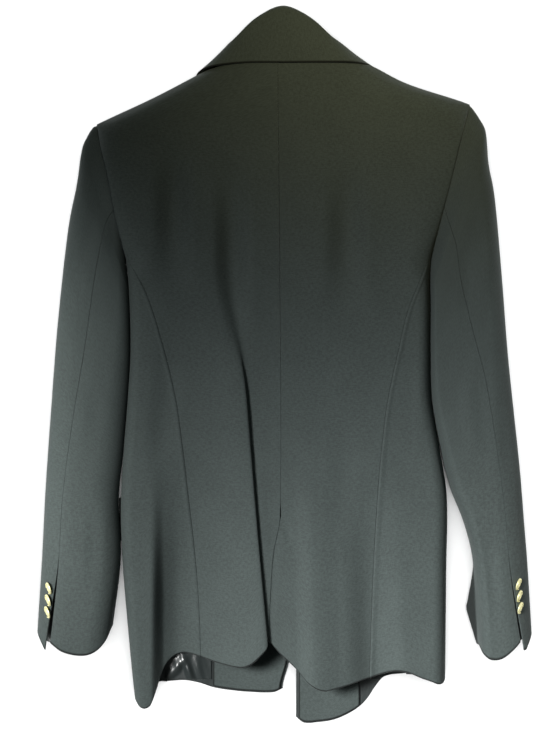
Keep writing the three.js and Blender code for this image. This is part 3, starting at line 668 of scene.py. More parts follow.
def back_point(side, x, y, level, drop=0):
    """Points of the back's outer face, with the body's roundness, its folds and its creases."""
    inside = TURN[side] * (edge_at(side, y) - x)
    armhole = step(y, UNDERARM_Y - ARMHOLE_TURN, UNDERARM_Y)
    reach = mix(BODY[side]["side_reach"], ARMHOLE_REACH, armhole)
    share = rise(below_shoulder(side, x, y), SHOULDER_REACH) * rise(inside, reach)
    up, sideways = folds_at(x, y)
    full = along(FULLNESS, "height", y) + up + crease_lift(BACK_CREASES, x, y) - drop
    return stack(x + sideways * share, level, mix(body_at(side, "brim", y), full, share))


def roll_at(side, y):
    """Where the front's free edge runs: up from the hem, then along the roll line."""
    front = FRONTS[side]
    top_x, top_y = front["roll_top"]
    return mix(front["edge"], top_x, part_of(y, BREAK_Y, top_y))


def lapel_width(side, y):
    """Width of the lapel at a level."""
    up = part_of(y, BREAK_Y, LAPEL_TIP_Y)
    top = FRONTS[side]["roll_top"][1] - LAPEL_TOP_DROP
    belly = LAPEL_OUT * mix(up, np.sin(math.pi / 2 * up), LAPEL_BELLY)
    notch = mix(LAPEL_OUT, LAPEL_TOP_WIDTH, part_of(y, LAPEL_TIP_Y, top))
    return np.where(y > LAPEL_TIP_Y, notch, belly)


def lapel_zone(side, x, y):
    """1 where the underside lies on the lapel, falling to 0 round it."""
    out = TURN[side] * (x - roll_at(side, y))
    width = np.where(y > LAPEL_TIP_Y, LAPEL_OUT, lapel_width(side, y)) + LAPEL_MARGIN
    top = FRONTS[side]["gorge"][1] + GORGE_MARGIN
    low = smooth((y - BREAK_Y) / LAPEL_END_SLOPE + 1)
    return smooth((width - out) / LIFT_SLOPE + 1) * low * smooth((top - y) / GORGE_SLOPE)


def flap_zone(side, x, y):
    """1 where the underside lies on the pocket flap, falling to 0 round it."""
    ends = [TURN[side] * x - FLAP_INNER, y - FLAP_BOTTOM, FLAP_TOP - y]
    return math.prod(smooth(end / LIFT_SLOPE + FLAP_MARGIN_SHARE) for end in ends)


def button_zone(side, x, y):
    """1 over the front button, falling to 0 round it."""
    if side == "right":
        return 0
    away = np.hypot(x - FRONTS["left"]["edge"] + BUTTON_INSET, y - BUTTON_Y) - BUTTON_AROUND
    return smooth(1 - away / BUTTON_SLOPE)


def under_point(side, x, y, level):
    """Points of the underside: flat, raised over what lies on it, rising to meet the back."""
    under = body_at(side, "under", y)
    inside = TURN[side] * (edge_at(side, y) - x)
    lift = np.maximum(lapel_zone(side, x, y), flap_zone(side, x, y)) * UNDER_LIFT
    lift = np.maximum(lift, BUTTON_HOLLOW * button_zone(side, x, y))
    shoulder = SHOULDER_BRIM * (1 - rise(below_shoulder(side, x, y), SHOULDER_UNDER_REACH))
    turn_up = np.maximum(under - lift, 0) * (1 - rise(inside, np.maximum(under, TINY)))
    crease = np.maximum(crease_lift(FRONT_CREASES, x, y), 0) * (inside > under)
    return stack(x, level, np.maximum(lift, shoulder) + turn_up + crease)


def to_hem(name, y, across):
    """A level drawn down to the wave of a piece's hem."""
    hem = along(HEMS[name], "y", across)
    return y + (hem - HEM_Y) * step(y, HEM_WAVE_FROM_Y, HEM_Y)


def centre_at(y):
    """The centre back seam, and below the vent the free edge of the left flap."""
    return along(CENTRE_BACK, "seam", y)


def to_neck(side, y, share):
    """A level drawn up to the neckline at the centre."""
    tip_y, neck_y = BODY[side]["tip"][1], BODY[side]["neck"][1]
    return y + (CENTRE_NECK_Y - neck_y) * share * step(y, tip_y, neck_y)


def round_armhole(y, x, edge):
    """A panel's seam at x, drawn out to the body's edge round the armhole."""
    return mix(x, edge, step(y, UNDERARM_Y, UNDERARM_Y + ARMHOLE_TURN))


def outer_x(side, y, seam):
    """Where a panel ends on the outside: at the side panel, then round the armhole."""
    gap = mix(SEAM_GAP, ARMHOLE_GAP, step(y, SEAM_OPENS_Y, UNDERARM_Y))
    place = round_armhole(y, body_at(side, seam, y), edge_at(side, y))
    return place - TURN[side] * gap / 2


def back_left(share, y):
    """The left back's outer face."""
    x = mix(outer_x("left", y, "back_seam"), centre_at(y) - SEAM_GAP / 2, share)
    return back_point("left", x, y, to_neck("left", to_hem("back_left", y, share), share))


def back_right(share, y):
    """The right back's outer face, which runs on under the left one below the vent's top."""
    underlap = step(y, VENT_TOP_Y, VENT_TOP_Y - UNDERLAP_START)
    lowered = step(y, VENT_TOP_Y + UNDERLAP_START, VENT_TOP_Y)
    inner = mix(centre_at(y) + SEAM_GAP / 2 + lowered, UNDERLAP_X, underlap)
    x = mix(inner, outer_x("right", y, "back_seam"), share)
    beside = smooth((centre_at(y) + UNDERLAP_SLOPE - x) / UNDERLAP_SLOPE)
    level = to_neck("right", to_hem("back_right", y, share), 1 - share)
    return back_point("right", x, y, level, UNDERLAP_DROP * beside * lowered)


def side_panel(side, around, y):
    """A side panel's outer face, from the back's seam over the edge to the front's seam."""
    half_gap = TURN[side] * SEAM_GAP / 2
    top = around <= SIDE_EDGE_AT
    under = (around - SIDE_EDGE_AT) / (1 - SIDE_EDGE_AT)
    part = np.where(top, 1 - around / SIDE_EDGE_AT, under)
    edge = edge_at(side, y)
    seam = np.where(top, body_at(side, "back_seam", y), body_at(side, "front_seam", y))
    seam = round_armhole(y, seam + half_gap, edge - half_gap)
    x = mix(edge, seam, 1 - np.cos(math.pi / 2 * part))
    level = to_hem(f"side_{side}", y, around)
    pressed = SEAM_LIFT * hump((abs(x - seam) - SEAM_CREST) / SEAM_PRESSED)
    over = back_point(side, x, y, level, -pressed)
    return np.where(top[..., None], over, under_point(side, x, y, level))


def front_inner_x(side, y):
    """The front's inner end: its edge, the roll line, then the gorge."""
    front = FRONTS[side]
    (top_x, top_y), (gorge_x, gorge_y) = front["roll_top"], front["gorge"]
    gorge = mix(top_x, gorge_x, (y - top_y) / (gorge_y - top_y))
    roll = roll_at(side, y) + TURN[side] * SEAM_GAP
    edge = front["edge"] + sway_at(side, y)
    return np.where(y > top_y, gorge, np.where(y > BREAK_Y, roll, edge))


def sway_at(side, y):
    """The left front's edge swings over near the hem."""
    return SWAY * step(y, SWAY_FROM_Y, HEM_Y) if side == "left" else 0 * y


def front(side, share, y):
    """A front's outer face, which looks down."""
    ends = [front_inner_x(side, y), outer_x(side, y, "front_seam")]
    x = mix(*(ends[::-1] if side == "left" else ends), share)
    return under_point(side, x, y, to_hem(f"front_{side}", y, share))


def lapel(side, share, y):
    """A lapel's outer face, flat on the surface."""
    gorge = np.maximum(0, y - LAPEL_TIP_Y) * share * GORGE_SLANT
    x = roll_at(side, y) + TURN[side] * lapel_width(side, y) * share
    return stack(x, y - gorge, 0 * x)


def facing(side, share, y):
    """The wool facing inside a front at the hem."""
    piece = FACING[side]
    height = (sizes().wool * 2) / MM + LAYER_GAP
    edge = piece["edge"] + sway_at(side, y)
    ends = (piece["outer"], edge) if side == "left" else (edge, piece["outer"])
    x = mix(*ends, share)
    start = body_at(side, "front_seam", y)
    across = (x - start) / (front_inner_x(side, y) - start)
    across = across if side == "left" else 1 - across
    hem = to_hem(f"front_{side}", y, across)
    rolled = step(y, HEM_WAVE_FROM_Y, HEM_Y)
    return stack(x, hem + piece["inset"] * rolled, height + 0 * x)


def lining(side, across, down):
    """The satin lining beside the facing, with its wrinkles."""
    piece = LININGS[side]
    base = (sizes().wool + sizes().satin) / MM + LAYER_GAP
    x = mix(piece["left"], piece["right"], across)
    y = mix(piece["top"], piece["bottom"], down)
    edges = np.sqrt(np.sin(math.pi * clamp(across)) + SATIN_EDGE_LOFT)
    sag = SATIN_SAG * np.sin(x / SATIN_WAVES[0] + y / SATIN_WAVES[1]) ** 2
    lift = crease_lift(piece["creases"], x, y) + sag
    return stack(x, y, base + np.maximum(lift, 0) * edges)


def pocket_flap(side, share, y):
    """A hip pocket's flap, flat under the front, whose end turns up on the left."""
    turn = TURN[side]
    layer = sizes().wool / MM + LAYER_GAP
    rim = edge_at(side, y) + turn * layer
    edge = rim - (2 * FLAP_TURN_UP if side == "right" else 0)
    x = mix(edge, turn * FLAP_INNER, 1 - np.cos(math.pi / 2 * share))
    return stack(x, y, FLAP_TURN_UP * (1 - rise(turn * (rim - x), FLAP_TURN_UP)))


def flare_along(at):
    """How far the cuff's lower layer comes out at a share of the sleeve's length."""
    return clamp(1 - abs(at - FLARE_AT) / FLARE_REACH)


def sleeve_point(side, at, around, hem):
    """A point round a sleeve. around is 0 at the outer edge, 1 at the inner edge over the top,
    and 2 at the outer edge again along the underside."""
    sleeve, turn = SLEEVES[side], TURN[side]
    seam = ("outer_x", "outer_y", "inner_y")
    tip_x, tip_y, underarm_y = (sleeve["rows"][column][0] for column in seam)
    underarm_x = edge_at(side, underarm_y) + turn * SLEEVE_TO_BODY
    outer, outer_y = sleeve_at(side, "outer_x", at), sleeve_at(side, "outer_y", at)
    inner_y = sleeve_at(side, "inner_y", at)
    away = np.maximum(sleeve_at(side, "away", at) - AWAY_AT_ARMHOLE, 0)
    inner = edge_at(side, inner_y) + turn * (away + SLEEVE_TO_BODY)
    on_top = around <= 1
    share = 0.5 - 0.5 * np.cos(math.pi * np.where(on_top, around, 2 - around))
    x, y = mix(outer, inner, share), mix(outer_y, inner_y, share)
    width = np.hypot(inner - outer, inner_y - outer_y)
    from_outer, from_inner = share * width, (1 - share) * width

    hems = [along(rows, "drop", share) for rows in (hem, sleeve["lower"])]
    level = y - np.where(on_top, *hems) * step(at, SLEEVE_HEM_FROM, 1)
    flare = flare_along(at) * hump((around - FLARE_AROUND) / FLARE_WIDTH)
    x = np.where(on_top, x, x - turn * sleeve["flare"] * flare)
    over = rise(from_outer, SLEEVE_OUTER_REACH) * rise(from_inner, sleeve["inner_reach"])
    below = 2 - rise(from_outer, SLEEVE_BRIM) - rise(from_inner, SLEEVE_BRIM)
    height = sleeve_at(side, "height", at) + crease_lift(SLEEVE_CREASES[side], x, y)

    seated = 1 - smooth(at / SEATED_UNTIL)
    seam_y = mix(tip_y, underarm_y, share)
    seam_x = edge_at(side, seam_y) + turn * SLEEVE_TO_BODY
    x = x + seated * (seam_x - mix(tip_x, underarm_x, share))
    lower = sleeve["step"] * smooth((tip_y - seam_y) / STEP_GROWS)
    seam = body_at(side, "brim", seam_y) - lower
    seam = mix(SLEEVE_BRIM, seam, rise(from_outer, CAP_BRIM_REACH))
    top = mix(mix(SLEEVE_BRIM, height, over), seam, seated)
    return stack(x, level, np.where(on_top, top, SLEEVE_BRIM * below))


def around_at(share):
    """The angle round a sleeve at a share of its width."""
    return np.arccos(1 - 2 * share) / math.pi


FRONT_SEAM = 1 + around_at(FRONT_SEAM_SHARE)


def top_sleeve(side, part, at):
    """The top sleeve: from the front seam underneath, round the edge, to the elbow seam."""
    opened = VENT_SPREAD * step(at, VENT_FROM, 1)
    elbow = sleeve_at(side, "elbow", at)
    over = part * (around_at(elbow - opened) - SEAM_TURN)
    around = np.where(part < 0, mix(2, FRONT_SEAM + SEAM_TURN, -part), over)
    return sleeve_point(side, at, around, SLEEVES[side]["strip"])


def around_under(side, part, at):
    """Where round the sleeve a point of its under piece is."""
    elbow = around_at(sleeve_at(side, "elbow", at)) + SEAM_TURN
    return mix(elbow, FRONT_SEAM - SEAM_TURN, part)


def under_sleeve(side, part, at):
    """The under sleeve: from the elbow seam, over the inner edge, to the front seam."""
    return sleeve_point(side, at, around_under(side, part, at), SLEEVES[side]["under"])


def painted_tuck_shade(side, part, at):
    """Painted shade on the cuff's lower layer where it comes out beside the upper one, 0 to 1."""
    out = flare_along(at) * (SLEEVES[side]["flare"] > 0)
    return smooth(out * TUCK_FADE) * smooth((around_under(side, part, at) - 1) / TUCK_EDGE)


def collar(part, at):
    """The collar's outer face: the fall, the roll at its fold, and the stand."""

    def spot(name):
        return stack(*(along(COLLAR, f"{name}_{axis}", at) for axis in "xyz"))

    fold, edge = spot("fold"), spot("edge")
    angle = np.radians(along(COLLAR, "faces", at))[..., None]
    out = (fold - edge) * (1, 1, 0)
    out = out / np.linalg.norm(out, axis=-1, keepdims=True)
    square = np.stack([out[..., 1], -out[..., 0], 0 * out[..., 0]], axis=-1)
    looks = square * np.sin(angle) + np.array([0, 0, 1]) * np.cos(angle)
    roll = along(COLLAR, "roll", at)[..., None]

    def rolled(share):
        turn = math.pi * share
        return fold + looks * roll * np.cos(turn) + out * roll * np.sin(turn)

    part = part[..., None]
    point = np.where(part < 2, rolled(clamp(part - 1)), mix(rolled(1), spot("neck"), part - 2))
    point = np.where(part < 1, mix(edge, point, part), point)
    point[..., 2] = np.maximum(point[..., 2], 0)
    return point


# Meshes


def spaced(start, end, pitch, unit=1.0, stops=()):
    """Levels from start to end about pitch mm apart, closer by both ends. unit is mm per 1."""
    way = math.copysign(1 / unit, end - start)
    first, last = start + way * CLOSE, end - way * CLOSE[::-1]
    count = max(2, round(abs(last[0] - first[-1]) * unit / pitch))
    middle = np.linspace(first[-1], last[0], count + 1)
    for stop in stops:
        middle[np.argmin(abs(middle - stop))] = stop
    return np.concatenate([first, middle[1:-1], last])


def spread(face, ends, levels, pitch):
    """The columns of a cloth's mesh, evenly spaced along each row and closer by its edges, and
    how far along its row each point stands."""
    fine = np.linspace(*ends, ROW_SAMPLES)
    u, v = np.meshgrid(fine, levels)
    step = np.linalg.norm(np.diff(face(u, v), axis=1), axis=2)
    run = np.hstack([np.zeros((len(levels), 1)), np.cumsum(step, axis=1)])
    total = run[:, -1:]
    close = CLOSE * np.minimum(1, total / SHORT_ROW)
    count = max(3, round(total.max() / pitch))
    share = np.linspace(0, 1, count + 1)[1:-1]
    middle = close[:, -1:] + (total - 2 * close[:, -1:]) * share
    place = np.hstack([close, middle, total - close[:, ::-1]])
    return np.array([np.interp(p, r, fine) for p, r in zip(place, run)]), place


def cloth(
    name, face, levels, out, looks, rims=PANEL, unit=1.0, ends=(0, 1), thickness=None,
    pitch=None, curl=0, shade=None,
):
    """A closed sheet of cloth: the outer face, the same moved in, and a rounded rim between.
    looks are the materials of the outer and of the inner face, ends where its rows start and end,
    rims how round its first and last columns and rows are, curl the radius on which its last row
    turns in, and shade how far painted shade darkens it."""
    thickness = (thickness or sizes().wool) / MM
    u, place = spread(face, ends, levels, pitch or sizes().pitch / MM)
    v = np.repeat(np.asarray(levels, float)[:, None], u.shape[1], axis=1)
    points = face(u, v)
    across = face(u + TINY, v) - face(u - TINY, v)
    down = (face(u, v + TINY / unit) - face(u, v - TINY / unit)) * unit
    normal = out * np.cross(across, down)
    normal /= np.maximum(np.linalg.norm(normal, axis=-1, keepdims=True), NO_LENGTH)
    ways = (place, place[:, -1:] - place, unit * abs(v - levels[0]), unit * abs(v - levels[-1]))
    if curl:
        points = points - normal * (curl * (1 - rise(ways[-1], curl)))[..., None]
    sink = 0 * place
    for rim, way in zip(rims, ways):
        radius = min(rim, thickness / 2 - RIM_WALL)
        low = radius - np.sqrt(radius**2 - np.clip(radius - way, 0, radius) ** 2)
        sink = np.maximum(sink, low)
    walls = (points - normal * sink[..., None], points - normal * (thickness - sink)[..., None])

    rows, columns = u.shape
    o, n = np.arange(2 * rows * columns).reshape(2, rows, columns)
    loops = [
        (o[:-1, :-1], o[:-1, 1:], o[1:, 1:], o[1:, :-1]),
        (n[1:, :-1], n[1:, 1:], n[:-1, 1:], n[:-1, :-1]),
        (o[0, 1:], o[0, :-1], n[0, :-1], n[0, 1:]),
        (o[-1, :-1], o[-1, 1:], n[-1, 1:], n[-1, :-1]),
        (o[1:, -1], o[:-1, -1], n[:-1, -1], n[1:, -1]),
        (o[:-1, 0], o[1:, 0], n[1:, 0], n[:-1, 0]),
    ]
    faces = np.concatenate([np.stack(loop, axis=-1).reshape(-1, 4) for loop in loops])
    if out * (levels[-1] - levels[0]) < 0:
        faces = faces[:, ::-1]
    inside = np.arange(len(faces)) // ((rows - 1) * (columns - 1)) == 1
    # The edges map carries painted shade: the distance from a turned edge, along which the wool
    # gets a painted dark line, and how far the shade function's painted shade darkens each point
    turned = np.minimum.reduce([way for rim, way in zip(rims, ways) if rim == TURNED])
    maps = {"cloth": (place, v * unit), "edges": (turned, (shade(u, v) if shade else 0 * u) / MM)}
    obj = solid(name, np.reshape(walls, (-1, 3)) * MM, faces, looks, inside)
    for title, pair in maps.items():
        uvs = np.tile(np.stack(pair, axis=-1).reshape(-1, 2) * MM, (2, 1))
        obj.data.uv_layers.new(name=title).data.foreach_set("uv", uvs[faces.ravel()].ravel())

    diagonals = np.cross(points[1:, 1:] - points[:-1, :-1], points[1:, :-1] - points[:-1, 1:])
    area = 0.5 * np.linalg.norm(diagonals, axis=-1).sum() * MM**2
    length = np.linalg.norm(np.diff(points, axis=0), axis=2).sum(axis=0).max() * MM
    return obj, (place[:, -1].max() * MM, length), area


def solid(name, points, faces, looks, inside=None):
    """An object of the blazer: a smooth mesh whose faces have the first of these materials, or
    the second where they are inside."""
    mesh = bpy.data.meshes.new(name)
    mesh.from_pydata(np.asarray(points).tolist(), [], [list(face) for face in faces])
    mesh.polygons.foreach_set("use_smooth", np.ones(len(faces), dtype=bool))
    for look in looks:
        mesh.materials.append(look)
    if inside is not None:
        mesh.polygons.foreach_set("material_index", inside.astype(np.int32))
    mesh.update()
    obj = bpy.data.objects.new(name, mesh)
    collection("Blazer").objects.link(obj)
    return obj


def stand_for(obj, node, slot):
    """Puts an object in its CAD node's place."""
    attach(obj, "root")
    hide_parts(node)


def lay(name, node, rests_on, *shape, slot="wool", **how):
    """Makes a sheet of cloth and puts it in its CAD node's place; rests_on is not used."""
    obj, flat, area = cloth(name, *shape, **how)
    stand_for(obj, node, slot)
    min(area, flat[0] * flat[1])


def collection(name):
    """The collection of this name, made where there is none yet."""
    found = bpy.data.collections.get(name)
    if found is None:
        found = bpy.data.collections.new(name)
        bpy.context.scene.collection.children.link(found)
    return found


# Materials


class Value:
    """A node's output, which Python's operators turn into Math nodes."""

    def __init__(self, maker, socket):
        self.maker = maker
        self.socket = socket

    def math(self, operation, *values):
        """A Math node over these values, this one first where none is given."""
        inputs = dict(enumerate(values or (self,)))
        return self.maker.node("ShaderNodeMath", {"operation": operation}, inputs)

    def __add__(self, other):
        return self.math("ADD", self, other)

    __radd__ = __add__

    def __sub__(self, other):
        return self.math("SUBTRACT", self, other)

    def __rsub__(self, other):
        return self.math("SUBTRACT", other, self)

    def __mul__(self, other):
        return self.math("MULTIPLY", self, other)

    __rmul__ = __mul__

    def sine(self):
        """Its sine."""
        return self.math("SINE")

    def between(self, low, high):
        """0 below low and 1 over high, with a soft step between."""
        settings = {"interpolation_type": "SMOOTHSTEP"}
        return self.maker.node("ShaderNodeMapRange", settings, {0: self, 1: low, 2: high})

    def parts(self):
        """A vector's X and Y."""
        made = self.maker.node("ShaderNodeSeparateXYZ", None, {0: self})
        return made, Value(self.maker, made.socket.node.outputs[1])


class Maker:
    """Makes one material's nodes."""

    def __init__(self, name):
        self.material = bpy.data.materials.new(name)
        self.material.use_nodes = True
        self.tree = self.material.node_tree
        self.tree.nodes.clear()

    def node(self, kind, settings=None, inputs=None, output=0):
        """A node of this kind, with its settings set first and then its sockets."""
        made = self.tree.nodes.new(kind)
        for key, value in (settings or {}).items():
            setattr(made, key, value)
        for key, value in (inputs or {}).items():
            if isinstance(value, Value):
                self.tree.links.new(value.socket, made.inputs[key])
            else:
                made.inputs[key].default_value = value
        return Value(self, made.outputs[output]) if made.outputs else None

    def place(self, output):
        """Where a point of the surface is: on the cloth's first map, or in the object."""
        return self.node("ShaderNodeTexCoord", output={"cloth": 2, "object": 3}[output])

    def noise(self, place, scale, detail=3.0):
        """A noise from 0 to 1 at a place."""
        inputs = {"Vector": place, "Scale": scale, "Detail": detail, "Roughness": NOISE_ROUGHNESS}
        return self.node("ShaderNodeTexNoise", {"normalize": True}, inputs)

    def threads(self, place, across, up, detail=2.0):
        """A noise of so many threads to the metre across the cloth and up it."""
        inputs = {0: place, 1: (across, up, 1)}
        drawn = self.node("ShaderNodeVectorMath", {"operation": "MULTIPLY"}, inputs)
        return self.noise(drawn, 1.0, detail)

    def bump(self, height, strength, depth):
        """A relief of this height, which is at most depth metres deep."""
        inputs = {"Strength": strength, "Distance": depth, "Height": height}
        return self.node("ShaderNodeBump", None, inputs)

    def blend(self, a, b, share):
        """A colour between a and b, by the numbers of the node's sockets for colours."""
        settings = {"data_type": "RGBA", "clamp_factor": True}
        return self.node("ShaderNodeMix", settings, {0: share, 6: a, 7: b}, output=2)

    def finish(self, inputs):
        """Joins a Principled shader with these inputs to the material's output."""
        shader = self.node("ShaderNodeBsdfPrincipled", None, inputs)
        self.node("ShaderNodeOutputMaterial", None, {"Surface": shader})
        return self.material


def rgba(colour, strength=1.0):
    """A colour with its alpha."""
    return (*(c * strength for c in colour), 1.0)


def material(name):
    """Has a material built under this name the first time, and found by it after that."""

    def keep(build):
        return lambda: bpy.data.materials.get(name) or build(Maker(name))

    return keep


@material("wool_twill")
def wool_material(made):
    """Fine heathered wool twill with a little bloom, with painted shade along its turned edges
    and on the right cuff's lower layer.
    """
    place = made.place("cloth")
    across, up = place.parts()
    ribs = ((across + up) * (2 * math.pi / sizes().twill)).sine() * 0.5 + 0.5
    weft = made.threads(place, across=240, up=900)
    warp = made.threads(place, across=1400, up=260)
    mottled = made.threads(place, across=300, up=360).between(0.36, 0.64)
    cloudy = made.noise(place, scale=24)
    fleck = (weft * 0.55 + warp * 0.45).between(0.4, 0.6)
    share = fleck * 0.27 + mottled * 0.13 + ribs * 0.1 + cloudy * 0.24 - WOOL_DARKER
    wool = colours().wool
    colour = made.blend(rgba(wool), rgba(colours().fleck), share)
    # The edges map holds the distance from a turned edge and the painted shade of the cuff's
    # lower layer
    edge, shade = made.node("ShaderNodeUVMap", {"uv_map": "edges"}).parts()
    # Painted shade: a dark line along the turned edges, where the rim turns away from the light
    colour = made.blend(rgba(wool, PAINTED_EDGE_SHADE), colour, edge.between(*EDGE_FADES))
    # Painted shade on the right cuff's lower layer, where it comes out beside the upper one
    colour = made.blend(colour, rgba(wool, PAINTED_TUCK_SHADE), shade)
    relief = ribs * 0.5 + weft * 0.5 + warp * 0.4
    return made.finish({
        "Base Color": colour,
        "Roughness": fleck * 0.1 + 0.8,
        "Normal": made.bump(relief, strength=0.45, depth=0.00022),
        "Specular IOR Level": 0.22,
        "Sheen Weight": 0.07,
        "Sheen Roughness": 0.45,
        "Sheen Tint": (0.9, 0.95, 0.95, 1.0),
    })


@material("lining_satin")
def satin_material(made):
    """Dark satin with fine lines across its lustre and small soft puckers."""
    place = made.place("cloth")
    threads = made.threads(place, across=2600, up=160)
    puckers = made.threads(place, across=60, up=26, detail=3)
    share = threads * 0.5 + puckers * 0.4
    satin = colours().satin
    return made.finish({
        "Base Color": made.blend(rgba(satin), rgba(satin, strength=1.5), share),
        "Roughness": threads * 0.12 + 0.26,
        "Normal": made.bump(threads * 0.05 + puckers, strength=0.6, depth=0.0012),
        "Specular IOR Level": 0.7,
        "Anisotropic": 0.35,
    })


@material("cast_brass")
def brass_material(made):
    """Worn brass: bright on what stands out, dark in the hollows."""
    raised = made.node("ShaderNodeNewGeometry", output="Pointiness")
    grime = made.noise(made.place("object"), scale=900, detail=4)
    worn = (raised + (grime - 0.5) * 0.12).between(0.44, 0.54)
    return made.finish({
        "Base Color": made.blend(rgba(colours().tarnish), rgba(colours().brass), worn),
        "Roughness": 0.5 - worn * 0.12 + grime * 0.12,
        "Normal": made.bump(grime, strength=0.25, depth=0.00008),
        "Metallic": 0.6,
    })


@material("floor")
def floor_material(made):
    """A plain pale floor with the faintest grain."""
    grain = made.noise(made.place("object"), scale=300, detail=2)
    floor = colours().floor
    colour = made.blend(rgba(floor, strength=0.985), rgba(floor), grain)
    return made.finish({"Base Color": colour, "Roughness": 0.8, "Specular IOR Level": 0.2})


# Operators


def body_levels(side, top):
    """Levels of the body's rows, from the top of a panel to the hem."""
    stops = (BODY[side]["tip"][1], UNDERARM_Y)
    return spaced(top, HEM_Y, sizes().pitch / MM, stops=stops)


def lined():
    """The wool and the satin inside it."""
    return wool_material(), satin_material()


class BLAZER_OT_back(bpy.types.Operator):
    """Build the two halves of the back"""

    bl_idname = "blazer.back"
    bl_label = "Back"

    def execute(self, context):
        """Builds them."""
        for side, face in (("left", back_left), ("right", back_right)):
            levels = body_levels(side, BODY[side]["neck"][1])
            lay(
                f"{side}_back", f"back_{side}", ["front_left", "front_right"],
                face, levels, 1, lined(), curl=HEM_CURL,
            )
        return {"FINISHED"}


class BLAZER_OT_sides(bpy.types.Operator):
    """Build the side panels"""

    bl_idname = "blazer.sides"
    bl_label = "Side panels"

    def execute(self, context):
        """Builds them."""
        levels = spaced(UNDERARM_Y + SIDE_GUSSET, HEM_Y, sizes().pitch / MM)
        for side, turn in TURN.items():
            lay(
                f"{side}_side_panel", f"side_{side}", [f"front_{side}"],
                partial(side_panel, side), levels, turn, lined(), curl=HEM_CURL,
            )
        return {"FINISHED"}


class BLAZER_OT_fronts(bpy.types.Operator):
    """Build the fronts, their lapels and their pocket flaps"""

    bl_idname = "blazer.fronts"
    bl_label = "Fronts"

    def execute(self, context):
        """Builds them."""
        wool, satin = lined()
        pitch = sizes().pitch / MM
        flap_levels = spaced(FLAP_TOP, FLAP_BOTTOM, pitch)
        for side, turn in TURN.items():
            front_levels = body_levels(side, FRONTS[side]["gorge"][1])
            top = FRONTS[side]["roll_top"][1] - LAPEL_TOP_DROP
            lapel_levels = spaced(LAPEL_START_Y, top, pitch, stops=(LAPEL_TIP_Y,))
            for piece, face, levels, out, inside, rims in (
                ("front", front, front_levels, -1, satin, PANEL),
                ("lapel", lapel, lapel_levels, -turn, wool, PATCH),
                ("pocket_flap", pocket_flap, flap_levels, turn, wool, PATCH),
            ):
                names = f"{side}_{piece}", f"{piece}_{side}"
                lay(*names, ["Floor"], partial(face, side), levels, out, (wool, inside), rims)
        return {"FINISHED"}


class BLAZER_OT_insides(bpy.types.Operator):
    """Build the facings and the linings that show inside the fronts at the hem"""

    bl_idname = "blazer.insides"
    bl_label = "Facings and linings"

    def execute(self, context):
        """Builds them."""
        wool, satin = lined()
        for side in TURN:
            levels = spaced(FACING[side]["top"], HEM_Y, sizes().pitch / MM)
            lay(
                f"{side}_facing", f"facing_{side}", [f"front_{side}"],
                partial(facing, side), levels, 1, (wool, wool), PATCH,
            )
            drop = LININGS[side]["top"] - LININGS[side]["bottom"]
            levels = spaced(0, 1, SATIN_PITCH, unit=drop)
            lay(
                f"{side}_lining", f"lining_{side}", [f"front_{side}"],
                partial(lining, side), levels, -1, (satin, satin), PATCH,
                unit=drop, thickness=sizes().satin, pitch=SATIN_PITCH, slot="satin",
            )
        return {"FINISHED"}


class BLAZER_OT_sleeves(bpy.types.Operator):
    """Build the sleeves, each of a top and an under piece"""

    bl_idname = "blazer.sleeves"
    bl_label = "Sleeves"

    def execute(self, context):
        """Builds them."""
        levels = spaced(0, 1, sizes().pitch / MM, unit=SLEEVE_LENGTH)
        for side, turn in TURN.items():
            # The under piece gets painted shade on the right cuff's lower layer
            for layer, face, start, shade in (
                ("top", top_sleeve, -1, None),
                ("under", under_sleeve, 0, partial(painted_tuck_shade, side)),
            ):
                lay(
                    f"{side}_{layer}_sleeve", f"{layer}_sleeve_{side}", ["Floor"],
                    partial(face, side), levels, turn, lined(),
                    unit=SLEEVE_LENGTH, ends=(start, 1), shade=shade,
                )
        return {"FINISHED"}


class BLAZER_OT_collar(bpy.types.Operator):
    """Build the collar"""

    bl_idname = "blazer.collar"
    bl_label = "Collar"

    def execute(self, context):
        """Builds it."""
        levels = spaced(0, COLLAR["at"][-1], COLLAR_PITCH, unit=COLLAR_STATION)
        lay(
            "turned_collar", "collar", ["back_left", "back_right"],
            collar, levels, -1, [wool_material()] * 2, PATCH, unit=COLLAR_STATION, ends=(0, 3),
        )
        return {"FINISHED"}


def bumps(r, angle, at, reach, count):
    """Soft bumps evenly round a circle, from 0 to 1 high."""
    return hump((r - at) / reach) * (0.5 + 0.5 * np.cos(count * angle))


